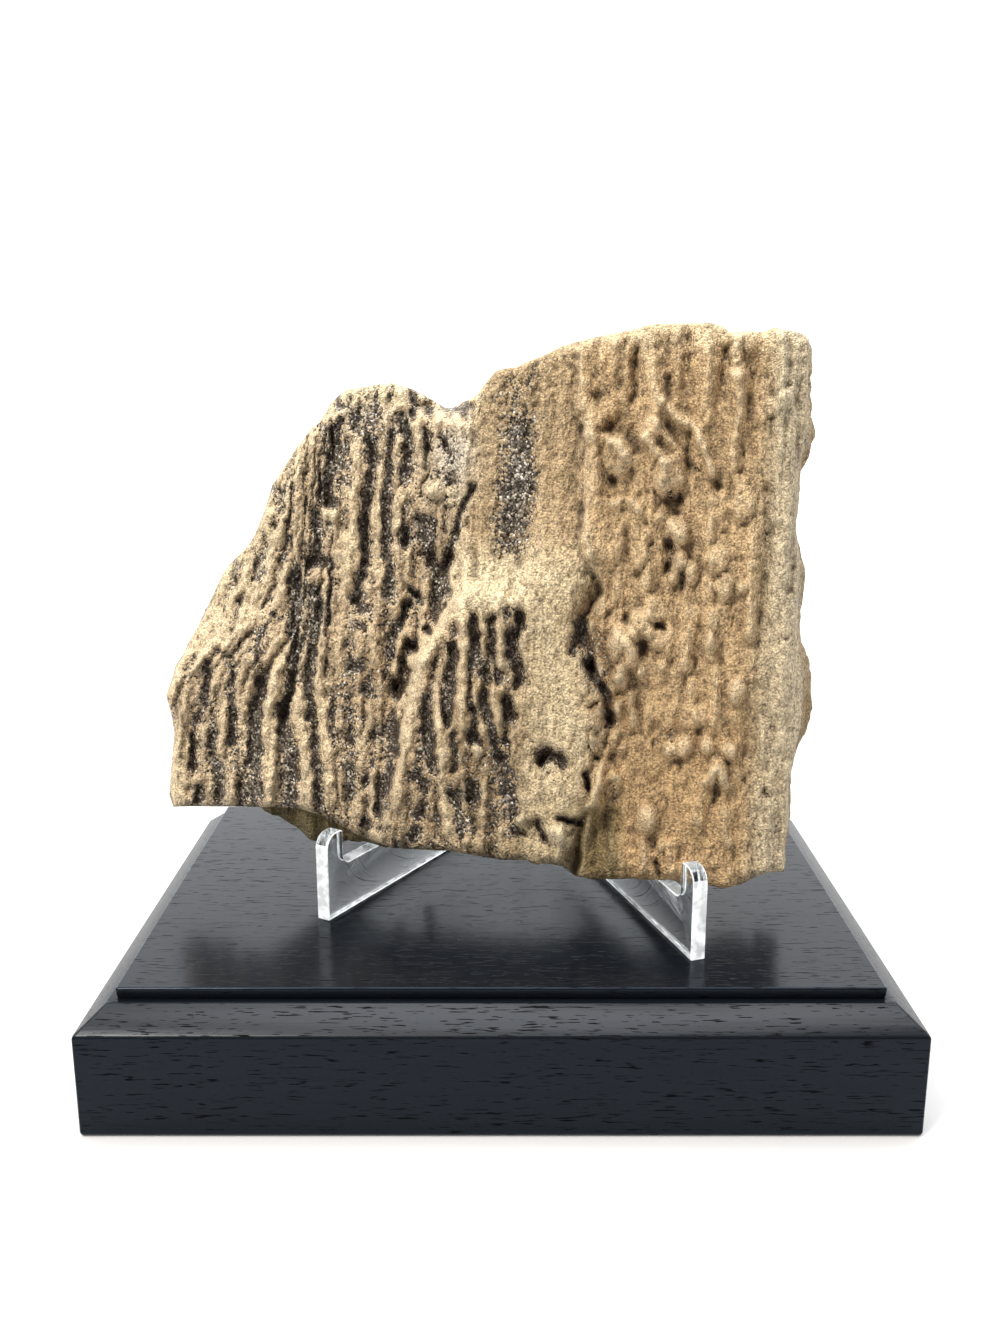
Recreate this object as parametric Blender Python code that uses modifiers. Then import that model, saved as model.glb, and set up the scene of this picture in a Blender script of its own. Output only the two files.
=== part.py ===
"""Petrified wood resting on a clear bent easel, on a black wooden display base.

The base's underside centre is the origin, +X runs along its length to the right,
+Y runs back and +Z is up. Lengths at the top are in millimetres, and MM turns them
into metres where a mesh is made.
"""

import math

import bmesh
import bpy
import numpy as np

MM = 0.001
GAP = 0.3

# Wooden base: a block with a chamfered top edge, a narrow shelf and a raised panel
BASE_LENGTH = 254.0
BASE_DEPTH = 177.8
BLOCK_HEIGHT = 33.3
CHAMFER_RUN = 8.2
CHAMFER_RISE = 6.6
SHELF_RUN = 2.2
PANEL_RISE = 3.8
BLOCK_EDGE_ROUND = 1.5
PANEL_EDGE_ROUND = 0.9
PANEL_TOP = BLOCK_HEIGHT + CHAMFER_RISE + PANEL_RISE

# Easel: a flat blank, bent about an upright line into two wings
SHEET = 5.0
LEFT_FOOT = (-60.0, -31.75)
RIGHT_FOOT = (61.9, -60.7)
LEFT_YAW = math.radians(31.1)
RIGHT_YAW = math.radians(-18.9)
BEND_RADIUS = 9.0
BEND_SLICES = 13
HOOK_TOP = 30.0
HOOK_BACK = 8.5
HOOK_SHOULDER = 25.0
LEDGE_HEIGHT = 17.4
LEDGE_START = 12.0
LEDGE_END = 61.0
REST_LEAN = math.radians(11.0)
REST_TOP = 116.0
REST_CORNER = 6.0
SPINE_HEIGHT = 96.0

# Stone: its own frame has x along the face, y into the stone and z up the grain
STONE_ORIGIN = (0.0, -40.9, 61.4)
STONE_TURN = math.radians(10.0)
STONE_LEAN = math.radians(10.0)
SIGHT = (63.8, -387.0, 97.7)
COLUMNS = 84
ROWS = 70
LAYERS = 18
RING_STEP = 2.6
STONE_KEEP = 0.25
EDGE_ROUND = 3.5
BACK_ROUND = 8.0

# Back: its middle depth, its extra depth at the right, and its taper to the thin left
BACK_DEPTH = 47.0
RIGHT_EXTRA = 11.0
RIGHT_FROM = 52.0
RIGHT_WIDTH = 30.0
LEFT_BACK = 24.0
LEFT_TAPER = 44.0
LEAST_THICKNESS = 5.0
BACK_GRAIN = [(2.4, 13.0, 70.0, 7), (1.2, 5.5, 34.0, 8), (3.0, 45.0, 45.0, 9)]
SIDE_GRAIN = [(1.6, 26.0, 7.0, 11), (2.4, 34.0, 16.0, 12)]

# Outline of the face, read clockwise from the lower left corner
LEFT_SIDE = [
    (-114.5, 18), (-116, 24), (-115, 32), (-114.5, 44), (-117.6, 56), (-114.3, 66.5),
    (-110, 74), (-102, 89.5), (-95.3, 101.7), (-87, 111), (-81, 128), (-71.3, 142),
    (-61.3, 155), (-58, 158),
]
TOP_SIDE = [
    (-58, 158), (-50, 160.2), (-40, 161.4), (-33, 159), (-26, 155.4), (-20.8, 153.5),
    (-13.2, 157.4), (-7, 165.1), (0, 166.5), (7.5, 169.7), (20, 174.7), (36, 178),
    (60, 180), (66, 177), (79.5, 178.5), (89, 176),
]
RIGHT_SIDE = [
    (90, 10), (89.5, 17), (90, 38), (91, 46), (92, 56), (91, 68), (90, 88), (90, 105),
    (88.3, 120), (88.3, 134), (90.5, 147), (90.3, 160), (89, 176),
]
BOTTOM_SIDE = [
    (-114.5, 18), (-100, 19), (-81, 20), (-70, 20.5), (-60, 18), (-50, 13), (-42.5, 10.5),
    (-30, 9), (-18, 9.3), (0, 7.5), (11, 6.6), (16, 7.7), (24, 4), (40, 4), (67, 3.8),
    (77, 5), (90, 10),
]

# Lines that part the face into its slabs, each as (height up the grain, place across)
CREST_LINE = [(18, -112), (45, -112), (66, -109), (69, -100), (75, -92), (82, -85),
              (88, -81), (119, -78), (140, -68), (157, -54)]
LOBE_LEFT = [(8, -44), (30, -38), (58, -34), (71, -31.5), (88, -20), (107, -17)]
LOBE_RIGHT = [(8, 22), (17, 25), (27, 31), (41, 30), (52, 34), (63, 33), (71, 27),
              (88, 23), (107, 26)]
LEDGE_LINE = [(0, 24), (17, 26), (41, 31), (52, 35), (63, 34), (71, 28), (88, 25),
              (96, 30), (104, 25.5), (111, 22.5), (123, 22.5), (130, 21), (146, 22),
              (157, 19.5), (180, 19.5)]
STRIP_DEPTH = 15.0
LEFT_EXTRA = 4.0
LEFT_SLOPE = 0.8
LOBE_PROUD = 13.0
LOBE_TOP = 107.0
LOBE_SHELF = 90.0
LOBE_RISE = 24.0
RIGHT_PROUD = 7.0
FACE_GRAIN = [(1.2, 6.5, 30.0, 3), (1.5, 13.0, 26.0, 4)]

# Saddle between the two tops, where the face leans back to its outline
NOTCH_AT = -25.0
NOTCH_HALF = 13.0
NOTCH_CREST = 148.0
NOTCH_RISE = 7.0
NOTCH_FALL = 10.0
NOTCH_EDGE = 5.0

# Grooves and holes in the face: half width, depth, then the points of their middle line
GROOVES = [
    (2.2, 5.0, (-72, 94), (-72, 62)),
    (2.2, 4.0, (-60, 147), (-60, 120)),
    (3.0, 5.0, (-66, 103)),
    (2.2, 3.0, (-65, 95), (-65, 83)),
    (2.2, 4.0, (-48.5, 118), (-48.5, 85)),
    (2.4, 4.5, (-41, 135), (-41, 105)),
    (3.0, 4.5, (-35, 114)),
    (4.5, 8.0, (-28, 114), (-24, 103)),
    (2.2, 4.0, (-35, 87), (-38, 81), (-33.5, 75.5)),
    (3.0, 4.0, (-50.5, 68)),
    (2.4, 3.5, (-37, 62), (-38, 48)),
    (5.0, 2.0, (-108, 45), (-98, 30), (-92, 20)),
    (3.5, 3.0, (1.5, 150), (2, 108)),
    (2.4, 4.0, (-19, 77), (-19, 42)),
    (3.0, 4.5, (-6, 86)),
    (2.6, 6.0, (3, 87), (2.5, 60)),
    (2.2, 4.0, (-9, 68), (-9, 42)),
    (2.2, 3.0, (-27, 60), (-27, 40)),
    (3.0, 4.0, (-16, 30)),
    (2.4, 3.0, (2, 30), (2, 20)),
    (4.2, 9.0, (12, 42), (17, 42)),
    (2.4, 7.0, (27, 38), (27, 34)),
    (3.0, 4.0, (22, 88), (27, 71), (34, 63), (35, 52)),
    (4.0, 4.0, (32, 158), (38, 146)),
    (2.6, 5.0, (27, 160)),
    (2.2, 4.0, (37, 168), (37, 162)),
    (2.4, 4.0, (48, 160), (50, 146)),
    (2.4, 4.0, (53, 140), (51.5, 127)),
    (2.4, 4.0, (50.5, 107), (54.5, 99)),
    (2.2, 4.0, (47.5, 90), (47.5, 84)),
    (2.4, 5.0, (37, 89)),
    (2.0, 3.0, (79, 178), (79, 165)),
    (2.0, 2.0, (80, 119), (80, 82)),
    (2.0, 2.5, (64.5, 175), (64.5, 158)),
    (2.2, 5.0, (51, 14), (51, 4)),
    (2.4, 4.0, (84, 42), (84, 34)),
    (6.0, 5.0, (29, 10), (31, 28)),
]

# Ridges of the face: half width, height, then the points of their crest line
RIDGES = [
    (2.6, 2.0, (-77, 110), (-77, 30)),
    (2.6, 2.2, (-67.5, 80), (-68, 30)),
    (2.6, 2.5, (-55.5, 146), (-56, 90), (-57, 28)),
    (2.6, 2.0, (-45, 140), (-45, 84), (-44, 20)),
    (2.6, 2.5, (-31.5, 140), (-33, 122)),
    (3.0, 2.0, (-20, 88), (-31.5, 71), (-34, 56)),
    (2.6, 2.0, (-14, 84), (-14, 40)),
    (2.4, 2.0, (-20.5, 40), (-20.5, 22)),
    (2.4, 2.0, (-7, 38), (-7, 27)),
    (4.0, 2.0, (12, 88), (20, 66), (22, 50)),
    (3.0, 3.0, (42, 176), (44, 160), (48, 150), (54, 142)),
    (3.0, 3.5, (51, 160), (56, 150), (60, 142), (62.5, 134)),
    (2.8, 3.0, (69, 176), (69, 150)),
    (3.6, 4.0, (26, 120), (30, 102)),
    (3.4, 4.0, (38, 125), (40, 104)),
    (3.0, 2.5, (57, 84), (57, 75)),
    (3.0, 2.5, (36, 78), (36, 70)),
    (3.2, 2.0, (84, 160), (84, 60)),
]

# Rounded lumps of the face: radius, height, then the centre
LUMPS = [
    (4.0, 3.0, (-26, 127)), (3.5, 3.0, (-20.5, 127)), (5.0, 4.0, (50, 134)),
    (4.2, 4.0, (31, 143.5)), (4.5, 4.5, (44.5, 141.5)), (3.8, 3.5, (52, 115.5)),
    (3.6, 3.5, (53.5, 106)), (3.4, 3.0, (58, 102)), (4.2, 4.0, (64.5, 107.5)),
    (3.6, 3.5, (67.5, 98)), (3.8, 3.5, (46.5, 92)), (4.6, 4.0, (42.5, 84)),
    (4.0, 3.5, (73, 127)), (3.8, 3.5, (73, 69)), (3.8, 3.5, (46, 24.5)),
    (3.6, 3.0, (35, 35)), (3.6, 3.0, (55, 47)), (3.6, 3.0, (65, 49)),
    (4.4, 3.5, (70, 47)), (4.0, 3.0, (18, 16)), (3.6, 3.0, (68.5, 170)),
]

# Lumps of the right side: radius, reach, height up the grain, depth
SIDE_LUMPS = [
    (14.0, 5.5, 58, 30), (9.0, 3.5, 72, 26), (10.0, 3.0, 150, 28), (12.0, 3.0, 104, 34),
    (11.0, 3.0, 28, 34),
]
# Level of the underside, as (place across, height up the grain)
UNDERSIDE = [(-116, 17), (-98, 16), (-86, 12), (-80, 9), (-76, 4.5), (-72, 1), (-66, -0.7),
             (-58, 0), (-50, 3), (-40, 5), (0, 5.5), (22, 3), (60, 2.5), (80, 4), (92, 8)]
UNDERSIDE_SLOPE = 0.176
UNDERSIDE_FROM = 15.0


def clear_scene():
    """Remove every object, so that only this model is left."""
    for item in list(bpy.data.objects):
        bpy.data.objects.remove(item, do_unlink=True)


def make_material(name, colour, roughness, metallic=0.0, transmission=0.0, ior=1.5):
    """A Principled material with one plain colour."""
    material = bpy.data.materials.new(name)
    material.use_nodes = True
    shader = material.node_tree.nodes["Principled BSDF"]
    shader.inputs["Base Color"].default_value = (*colour, 1.0)
    shader.inputs["Roughness"].default_value = roughness
    shader.inputs["Metallic"].default_value = metallic
    shader.inputs["Transmission Weight"].default_value = transmission
    shader.inputs["IOR"].default_value = ior
    return material


def add_object(name, mesh, material, collection):
    """Link a new object with its one material to the model's collection."""
    mesh.materials.append(material)
    item = bpy.data.objects.new(name, mesh)
    collection.objects.link(item)
    return item


# Wooden base


def build_base(collection):
    """Block, chamfer, shelf and raised panel drawn up from one box, then rounded."""
    bm = bmesh.new()
    bmesh.ops.create_cube(bm, size=1.0)
    for vert in bm.verts:
        vert.co.x *= BASE_LENGTH * MM
        vert.co.y *= BASE_DEPTH * MM
        vert.co.z = (vert.co.z + 0.5) * BLOCK_HEIGHT * MM
    top = max(bm.faces, key=lambda face: face.calc_center_median().z)
    for run, rise in ((CHAMFER_RUN, CHAMFER_RISE), (SHELF_RUN, 0.0), (0.0, PANEL_RISE)):
        top = raise_face(bm, top, run, rise)
    mark_rounded_edges(bm)
    mesh = bpy.data.meshes.new("wood_base")
    bm.to_mesh(mesh)
    bm.free()
    finish = make_material("black_stained_wood", (0.012, 0.014, 0.017), 0.3)
    base = add_object("wood_base", mesh, finish, collection)
    bevel = base.modifiers.new("rounded edges", "BEVEL")
    bevel.limit_method = "WEIGHT"
    bevel.width = BLOCK_EDGE_ROUND * MM
    bevel.segments = 3
    return base


def raise_face(bm, face, run, rise):
    """Extrude one face, moving its corners in by run and up by rise."""
    made = bmesh.ops.extrude_discrete_faces(bm, faces=[face])["faces"][0]
    for vert in made.verts:
        vert.co.x -= math.copysign(run * MM, vert.co.x)
        vert.co.y -= math.copysign(run * MM, vert.co.y)
        vert.co.z += rise * MM
    return made


def mark_rounded_edges(bm):
    """Give the bevel full width on the block and less on the panel and shelf."""
    weights = bm.edges.layers.float.new("bevel_weight_edge")
    block_top = BLOCK_HEIGHT * MM
    for edge in bm.edges:
        low = min(vert.co.z for vert in edge.verts)
        high = max(vert.co.z for vert in edge.verts)
        on_block = high <= block_top + GAP * MM
        at_panel_top = low >= (PANEL_TOP - GAP) * MM
        panel_corner = low < high and low > (PANEL_TOP - PANEL_RISE - GAP) * MM
        if on_block:
            edge[weights] = 1.0
        elif at_panel_top or panel_corner:
            edge[weights] = PANEL_EDGE_ROUND / BLOCK_EDGE_ROUND


# Easel


def arc(centre, radius, start, end, steps):
    """Points of an arc in degrees, both ends included."""
    points = []
    for step in range(steps + 1):
        angle = math.radians(start + (end - start) * step / steps)
        points.append((centre[0] + radius * math.cos(angle),
                       centre[1] + radius * math.sin(angle)))
    return points


def wing_profile():
    """Upper outline of one wing from its foot to the back-rest's rounded top."""
    rise = HOOK_TOP - HOOK_SHOULDER
    fillet = LEDGE_START - HOOK_BACK
    lean_run = math.tan(REST_LEAN) * (REST_TOP - LEDGE_HEIGHT)
    top_centre = (LEDGE_END + lean_run + REST_CORNER, REST_TOP - REST_CORNER)
    points = [(0.0, 0.0)]
    points += arc((rise, HOOK_SHOULDER), rise, 180, 90, 5)
    points += arc((HOOK_BACK - 1.0, HOOK_TOP - 1.0), 1.0, 90, 0, 2)
    points += arc((LEDGE_START, LEDGE_HEIGHT + fillet), fillet, 180, 270, 5)
    points.append((LEDGE_END - 1.5, LEDGE_HEIGHT))
    points.append((LEDGE_END + 0.4, LEDGE_HEIGHT + 1.5))
    points += arc(top_centre, REST_CORNER, 180 - math.degrees(REST_LEAN), 60, 6)
    return points


def wing_lengths():
    """Straight length of each wing up to the bend, and the length of the bend."""
    left = np.array([math.sin(LEFT_YAW), math.cos(LEFT_YAW)])
    right = np.array([math.sin(RIGHT_YAW), math.cos(RIGHT_YAW)])
    span = np.array(RIGHT_FOOT) - np.array(LEFT_FOOT)
    to_apex = np.linalg.solve(np.column_stack((left, -right)), span)
    turn = math.pi - (LEFT_YAW - RIGHT_YAW)
    tangent = BEND_RADIUS * math.tan(turn / 2)
    return to_apex[0] - tangent, to_apex[1] - tangent, BEND_RADIUS * turn


def build_easel(collection):
    """Flat blank from a filled outline, cut into slices at the bend and bent."""
    left_run, right_run, bend_run = wing_lengths()
    total = left_run + bend_run + right_run
    left = wing_profile()
    right = [(total - x, z) for x, z in reversed(wing_profile())]
    spine = [(left_run, SPINE_HEIGHT), (left_run + bend_run, SPINE_HEIGHT)]
    curve = bpy.data.curves.new("easel_blank", "CURVE")
    curve.dimensions = "2D"
    curve.fill_mode = "BOTH"
    curve.extrude = SHEET / 2 * MM
    outline = left + spine + right
    spline = curve.splines.new("POLY")
    spline.points.add(len(outline) - 1)
    for point, (x, z) in zip(spline.points, outline):
        point.co = (x * MM, z * MM, 0.0, 1.0)
    spline.use_cyclic_u = True
    blank = bpy.data.objects.new("easel_blank", curve)
    collection.objects.link(blank)
    evaluated = blank.evaluated_get(bpy.context.evaluated_depsgraph_get())
    mesh = bpy.data.meshes.new_from_object(evaluated)
    bpy.data.objects.remove(blank, do_unlink=True)
    bm = bmesh.new()
    bm.from_mesh(mesh)
    bmesh.ops.remove_doubles(bm, verts=bm.verts, dist=0.001 * MM)
    for step in range(BEND_SLICES + 1):
        cut = (left_run + bend_run * step / BEND_SLICES) * MM
        everything = bm.verts[:] + bm.edges[:] + bm.faces[:]
        bmesh.ops.bisect_plane(bm, geom=everything, plane_co=(cut, 0, 0),
                               plane_no=(1, 0, 0), dist=0.0001 * MM)
    for vert in bm.verts:
        x, y = bend_point(vert.co.x / MM, -vert.co.z / MM, left_run, bend_run)
        vert.co = (x * MM, y * MM, vert.co.y + (PANEL_TOP + GAP) * MM)
    bmesh.ops.triangulate(bm, faces=bm.faces)
    bmesh.ops.recalc_face_normals(bm, faces=bm.faces)
    if bm.calc_volume(signed=True) < 0:
        bmesh.ops.reverse_faces(bm, faces=bm.faces)
    bm.to_mesh(mesh)
    bm.free()
    finish = make_material("clear_acrylic", (0.95, 0.97, 0.97), 0.05, transmission=1.0,
                           ior=1.49)
    mesh.materials.clear()
    mesh.name = "acrylic_easel"
    return add_object("acrylic_easel", mesh, finish, collection)


def bend_point(run, side, left_run, bend_run):
    """Plan position of a point of the blank, side being its distance to the right."""
    along = np.array([math.sin(LEFT_YAW), math.cos(LEFT_YAW)])
    across = np.array([along[1], -along[0]])
    start = np.array(LEFT_FOOT)
    if run <= left_run:
        return start + along * run + across * side
    centre = start + along * left_run + across * BEND_RADIUS
    turned = min(run - left_run, bend_run) / BEND_RADIUS
    yaw = LEFT_YAW + turned
    along = np.array([math.sin(yaw), math.cos(yaw)])
    across = np.array([along[1], -along[0]])
    past = max(0.0, run - left_run - bend_run)
    return centre - across * (BEND_RADIUS - side) + along * past


# Stone


def smooth(value):
    """Smooth step from 0 at 0 to 1 at 1."""
    value = np.clip(value, 0.0, 1.0)
    return value * value * (3.0 - 2.0 * value)


def side_point(side, t):
    """Point at share t of the length of an outline side."""
    points = np.array(side, dtype=float)
    steps = np.hypot(*np.diff(points, axis=0).T)
    reach = np.concatenate(([0.0], np.cumsum(steps))) / steps.sum()
    return np.column_stack((np.interp(t, reach, points[:, 0]),
                            np.interp(t, reach, points[:, 1])))


def fill_patch(bottom, top, left, right):
    """Coons patch between four rows of points that share their corners."""
    a = np.linspace(0, 1, len(bottom))[:, None, None]
    b = np.linspace(0, 1, len(left))[None, :, None]
    ruled = (1 - b) * bottom[:, None] + b * top[:, None]
    ruled = ruled + (1 - a) * left[None] + a * right[None]
    corners = (1 - a) * (1 - b) * bottom[0] + a * (1 - b) * bottom[-1]
    corners = corners + (1 - a) * b * top[0] + a * b * top[-1]
    return ruled - corners


def line_distance(x, z, points):
    """Distance from each place to a line through the points, or to one point."""
    points = [np.array(point, dtype=float) for point in points]
    if len(points) == 1:
        return np.hypot(x - points[0][0], z - points[0][1])
    nearest = np.full(np.shape(x), np.inf)
    for first, second in zip(points, points[1:]):
        step = second - first
        share = ((x - first[0]) * step[0] + (z - first[1]) * step[1]) / (step @ step)
        share = np.clip(share, 0, 1)
        gap = np.hypot(x - first[0] - share * step[0], z - first[1] - share * step[1])
        nearest = np.minimum(nearest, gap)
    return nearest


def lattice_noise(x, z, cell_x, cell_z, seed):
    """Smooth noise from -1 to 1 on a lattice of random values of the given cell."""
    values = np.random.default_rng(seed).uniform(-1, 1, (97, 89))
    x = x / cell_x + 500.0
    z = z / cell_z + 500.0
    column = np.floor(x).astype(int)
    row = np.floor(z).astype(int)
    share_x = smooth(x - column)
    share_z = smooth(z - row)
    corner = [values[(column + i) % 97, (row + j) % 89] for i in (0, 1) for j in (0, 1)]
    low = corner[0] * (1 - share_z) + corner[1] * share_z
    high = corner[2] * (1 - share_z) + corner[3] * share_z
    return low * (1 - share_x) + high * share_x


def step_past(x, z, line, width):
    """0 left of a line given by height, rising to 1 over the width right of it."""
    heights, places = np.array(line, dtype=float).T
    return smooth((x - np.interp(z, heights, places)) / width + 0.5)


def grain(x, z, waves):
    """Sum of noise waves, each as (height, cell across, cell up the grain, seed)."""
    return sum(height * lattice_noise(x, z, *wave) for height, *wave in waves)


def lobe_share(x, z):
    """1 on the lobe that stands proud below the shelf, 0 beside and above it."""
    top = LOBE_TOP + LOBE_RISE * smooth((x - 1.0) / 9.0)
    share = smooth((top - z) / (top - LOBE_SHELF))
    share = share * step_past(x, z, LOBE_LEFT, 7.0) * (1 - step_past(x, z, LOBE_RIGHT, 4.0))
    return share * (0.75 + 0.25 * smooth((z - 5.0) / 45.0))


def face_depth(x, z):
    """Depth of the face behind its reference plane, at each place of the outline."""
    depth = STRIP_DEPTH + LEFT_EXTRA * smooth((-14.0 - x) / 8.0)
    heights, places = np.array(CREST_LINE, dtype=float).T
    depth = depth + LEFT_SLOPE * np.maximum(0.0, np.interp(z, heights, places) - x)
    depth = depth - LOBE_PROUD * lobe_share(x, z)
    depth = depth - RIGHT_PROUD * step_past(x, z, LEDGE_LINE, 2.5)
    for half_width, cut, *points in GROOVES:
        depth = depth + cut * np.exp(-(line_distance(x, z, points) / half_width) ** 2)
    for half_width, height, *points in RIDGES:
        depth = depth - height * np.exp(-(line_distance(x, z, points) / half_width) ** 2)
    for radius, height, centre in LUMPS:
        inside = 1 - (line_distance(x, z, [centre]) / radius) ** 2
        depth = depth - height * np.sqrt(np.maximum(inside, 0.0))
    beside = smooth((NOTCH_HALF - np.abs(x - NOTCH_AT)) / NOTCH_EDGE)
    depth = depth + NOTCH_FALL * smooth((z - NOTCH_CREST) / NOTCH_RISE) * beside
    return depth + grain(x, z, FACE_GRAIN)


def back_depth(x, z):
    """Depth of the split back face, coarser than the front but with the same grain."""
    places, heights = np.array(LEFT_SIDE, dtype=float).T
    inward = smooth((x - np.interp(z, heights, places)) / LEFT_TAPER)
    depth = LEFT_BACK + (BACK_DEPTH - LEFT_BACK) * inward
    depth = depth + RIGHT_EXTRA * smooth((x - RIGHT_FROM) / RIGHT_WIDTH)
    return depth + grain(x, z, BACK_GRAIN)


def round_over(distance, radius):
    """How far a rounded edge falls back at a distance from the edge."""
    inner = np.clip(radius - distance, 0.0, radius)
    return radius - np.sqrt(np.maximum(radius ** 2 - inner ** 2, 0.0))


def ring_of(grid):
    """Border of a grid as one closed row, counter-clockwise from the lower left."""
    return np.concatenate((grid[:-1, 0], grid[-1, :-1], grid[:0:-1, -1], grid[0, :0:-1]))


def side_layers(front, face, back):
    """Rows of border points from the face to the back, as (layer, border, xyz)."""
    ring = ring_of(front)
    ahead = np.roll(ring, -1, axis=0) - np.roll(ring, 1, axis=0)
    outward = np.column_stack((ahead[:, 1], -ahead[:, 0]))
    outward = outward / np.linalg.norm(outward, axis=1)[:, None]
    reach = np.arange(len(ring)) * RING_STEP
    start = ring_of(face)
    end = ring_of(back)
    bottom = smooth((-outward[:, 1] - 0.35) / 0.4)
    right = smooth((outward[:, 0] - 0.5) / 0.4)
    places, levels = np.array(UNDERSIDE, dtype=float).T
    rows = []
    for layer in range(LAYERS + 1):
        share = layer / LAYERS
        depth = start + (end - start) * share
        spread = grain(reach, depth, SIDE_GRAIN) * smooth(share / 0.2) * (1 - bottom)
        for radius, height, up, into in SIDE_LUMPS:
            away = np.hypot(ring[:, 1] - up, depth - into)
            spread = spread + right * height * np.exp(-(away / radius) ** 2)
        spread = spread - round_over((end - start) * (1 - share), BACK_ROUND)
        place = ring + outward * spread[:, None]
        level = np.interp(place[:, 0], places, levels)
        level = level + UNDERSIDE_SLOPE * (depth - UNDERSIDE_FROM)
        settle = bottom * smooth(share / 0.3)
        place[:, 1] = place[:, 1] + settle * (level - ring[:, 1])
        rows.append(np.column_stack((place[:, 0], depth, place[:, 1])))
    return np.array(rows)


def stone_points():
    """Points of the face, of the back and of the layers between their borders."""
    across = np.linspace(0, 1, COLUMNS + 1)
    up = np.linspace(0, 1, ROWS + 1)
    flat = fill_patch(side_point(BOTTOM_SIDE, across), side_point(TOP_SIDE, across),
                      side_point(LEFT_SIDE, up), side_point(RIGHT_SIDE, up))
    outline = ring_of(flat)
    outline = np.vstack((outline, outline[:1]))
    edge = line_distance(flat[..., 0], flat[..., 1], outline)
    face = face_depth(flat[..., 0], flat[..., 1]) + round_over(edge, EDGE_ROUND)
    scale = (1 + face / -SIGHT[1])[..., None]
    sight = np.array([SIGHT[0], SIGHT[2]])
    front = sight + (flat - sight) * scale
    back = back_depth(front[..., 0], front[..., 1]) - round_over(edge, BACK_ROUND)
    back = np.maximum(back, face + LEAST_THICKNESS)
    layers = side_layers(front, face, back)
    last = layers[-1][:, [0, 2]]
    corner = np.cumsum((COLUMNS, ROWS, COLUMNS))
    sides = (last[:corner[0] + 1], last[corner[1]:corner[2] + 1][::-1],
             np.vstack((last[corner[2]:], last[:1]))[::-1], last[corner[0]:corner[1] + 1])
    rear = fill_patch(*sides)
    return (np.dstack((front[..., 0], face, front[..., 1])),
            np.dstack((rear[..., 0], back, rear[..., 1])), layers)


def rest_on_easel(points):
    """Keep the stone off the ledges and back-rests, flat where it lies on them."""
    turn = math.cos(STONE_TURN), math.sin(STONE_TURN)
    lean = math.cos(STONE_LEAN), math.sin(STONE_LEAN)
    for _ in range(2):
        for foot, yaw in ((LEFT_FOOT, LEFT_YAW), (RIGHT_FOOT, RIGHT_YAW)):
            x, y, z = points.T
            into = y * lean[0] + z * lean[1]
            world_x = x * turn[0] + into * turn[1] + STONE_ORIGIN[0] - foot[0]
            world_y = -x * turn[1] + into * turn[0] + STONE_ORIGIN[1] - foot[1]
            height = z * lean[0] - y * lean[1] + STONE_ORIGIN[2] - PANEL_TOP - GAP
            along = world_x * math.sin(yaw) + world_y * math.cos(yaw)
            side = world_x * math.cos(yaw) - world_y * math.sin(yaw)
            near = 1 - smooth((np.abs(side) - SHEET) / (2 * SHEET))
            floor = LEDGE_HEIGHT + GAP
            low = np.maximum(0.0, floor - height) * near * (along < LEDGE_END + 8)
            rest = LEDGE_END + math.tan(REST_LEAN) * (height - LEDGE_HEIGHT) - GAP
            deep = np.maximum(0.0, along - rest) * near * (height < REST_TOP + 12)
            points[:, 2] += low / lean[0]
            points[:, 1] -= deep * math.cos(yaw - STONE_TURN)
    return points


def build_stone(collection):
    """A box cut into a fine grid, each of its points moved to its place in the stone."""
    face, rear, layers = stone_points()
    bm = bmesh.new()
    bmesh.ops.create_cube(bm, size=2.0)
    for axis, cuts in ((0, COLUMNS), (1, LAYERS), (2, ROWS)):
        edges = [edge for edge in bm.edges
                 if abs(edge.verts[0].co[axis] - edge.verts[1].co[axis]) > 1.0]
        bmesh.ops.subdivide_edges(bm, edges=edges, cuts=cuts - 1, use_grid_fill=True)
    mesh = bpy.data.meshes.new("petrified_wood")
    bm.to_mesh(mesh)
    bm.free()
    box = np.empty(len(mesh.vertices) * 3)
    mesh.vertices.foreach_get("co", box)
    cells = (box.reshape(-1, 3) + 1) / 2 * (COLUMNS, LAYERS, ROWS)
    column, layer, row = np.rint(cells).astype(int).T
    border = np.full((COLUMNS + 1, ROWS + 1), -1)
    index = np.arange(2 * (COLUMNS + ROWS))
    places = np.dstack(np.meshgrid(np.arange(COLUMNS + 1), np.arange(ROWS + 1),
                                   indexing="ij"))
    walk = ring_of(places)
    border[walk[:, 0], walk[:, 1]] = index
    points = np.where((layer == 0)[:, None], face[column, row], rear[column, row])
    between = (layer > 0) & (border[column, row] >= 0)
    points[between] = layers[layer[between], border[column[between], row[between]]]
    points = rest_on_easel(points)
    mesh.vertices.foreach_set("co", (points * MM).ravel())
    mesh.update()
    finish = make_material("petrified_wood_stone", (0.52, 0.37, 0.2), 0.85)
    stone = add_object("petrified_wood", mesh, finish, collection)
    stone.location = [value * MM for value in STONE_ORIGIN]
    stone.rotation_euler = (-STONE_LEAN, 0.0, -STONE_TURN)
    thin = stone.modifiers.new("fewer faces", "DECIMATE")
    thin.ratio = STONE_KEEP
    return stone


def main():
    """Build the three pieces in the model's collection."""
    clear_scene()
    collection = bpy.data.collections.new("petrified_wood_on_stand")
    bpy.context.scene.collection.children.link(collection)
    build_base(collection)
    build_easel(collection)
    build_stone(collection)


main()
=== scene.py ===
"""Looks of a petrified wood slab on a bent clear easel and a black display base.

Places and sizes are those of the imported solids. This script dresses them: the slab gets
its finer relief, crust, streaks and crystals, the easel its polished edges and the base
its stained open-pore wood. Lengths are in millimetres, and MM turns them into metres
where a mesh or a texture is made.
"""

from __future__ import annotations

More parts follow.
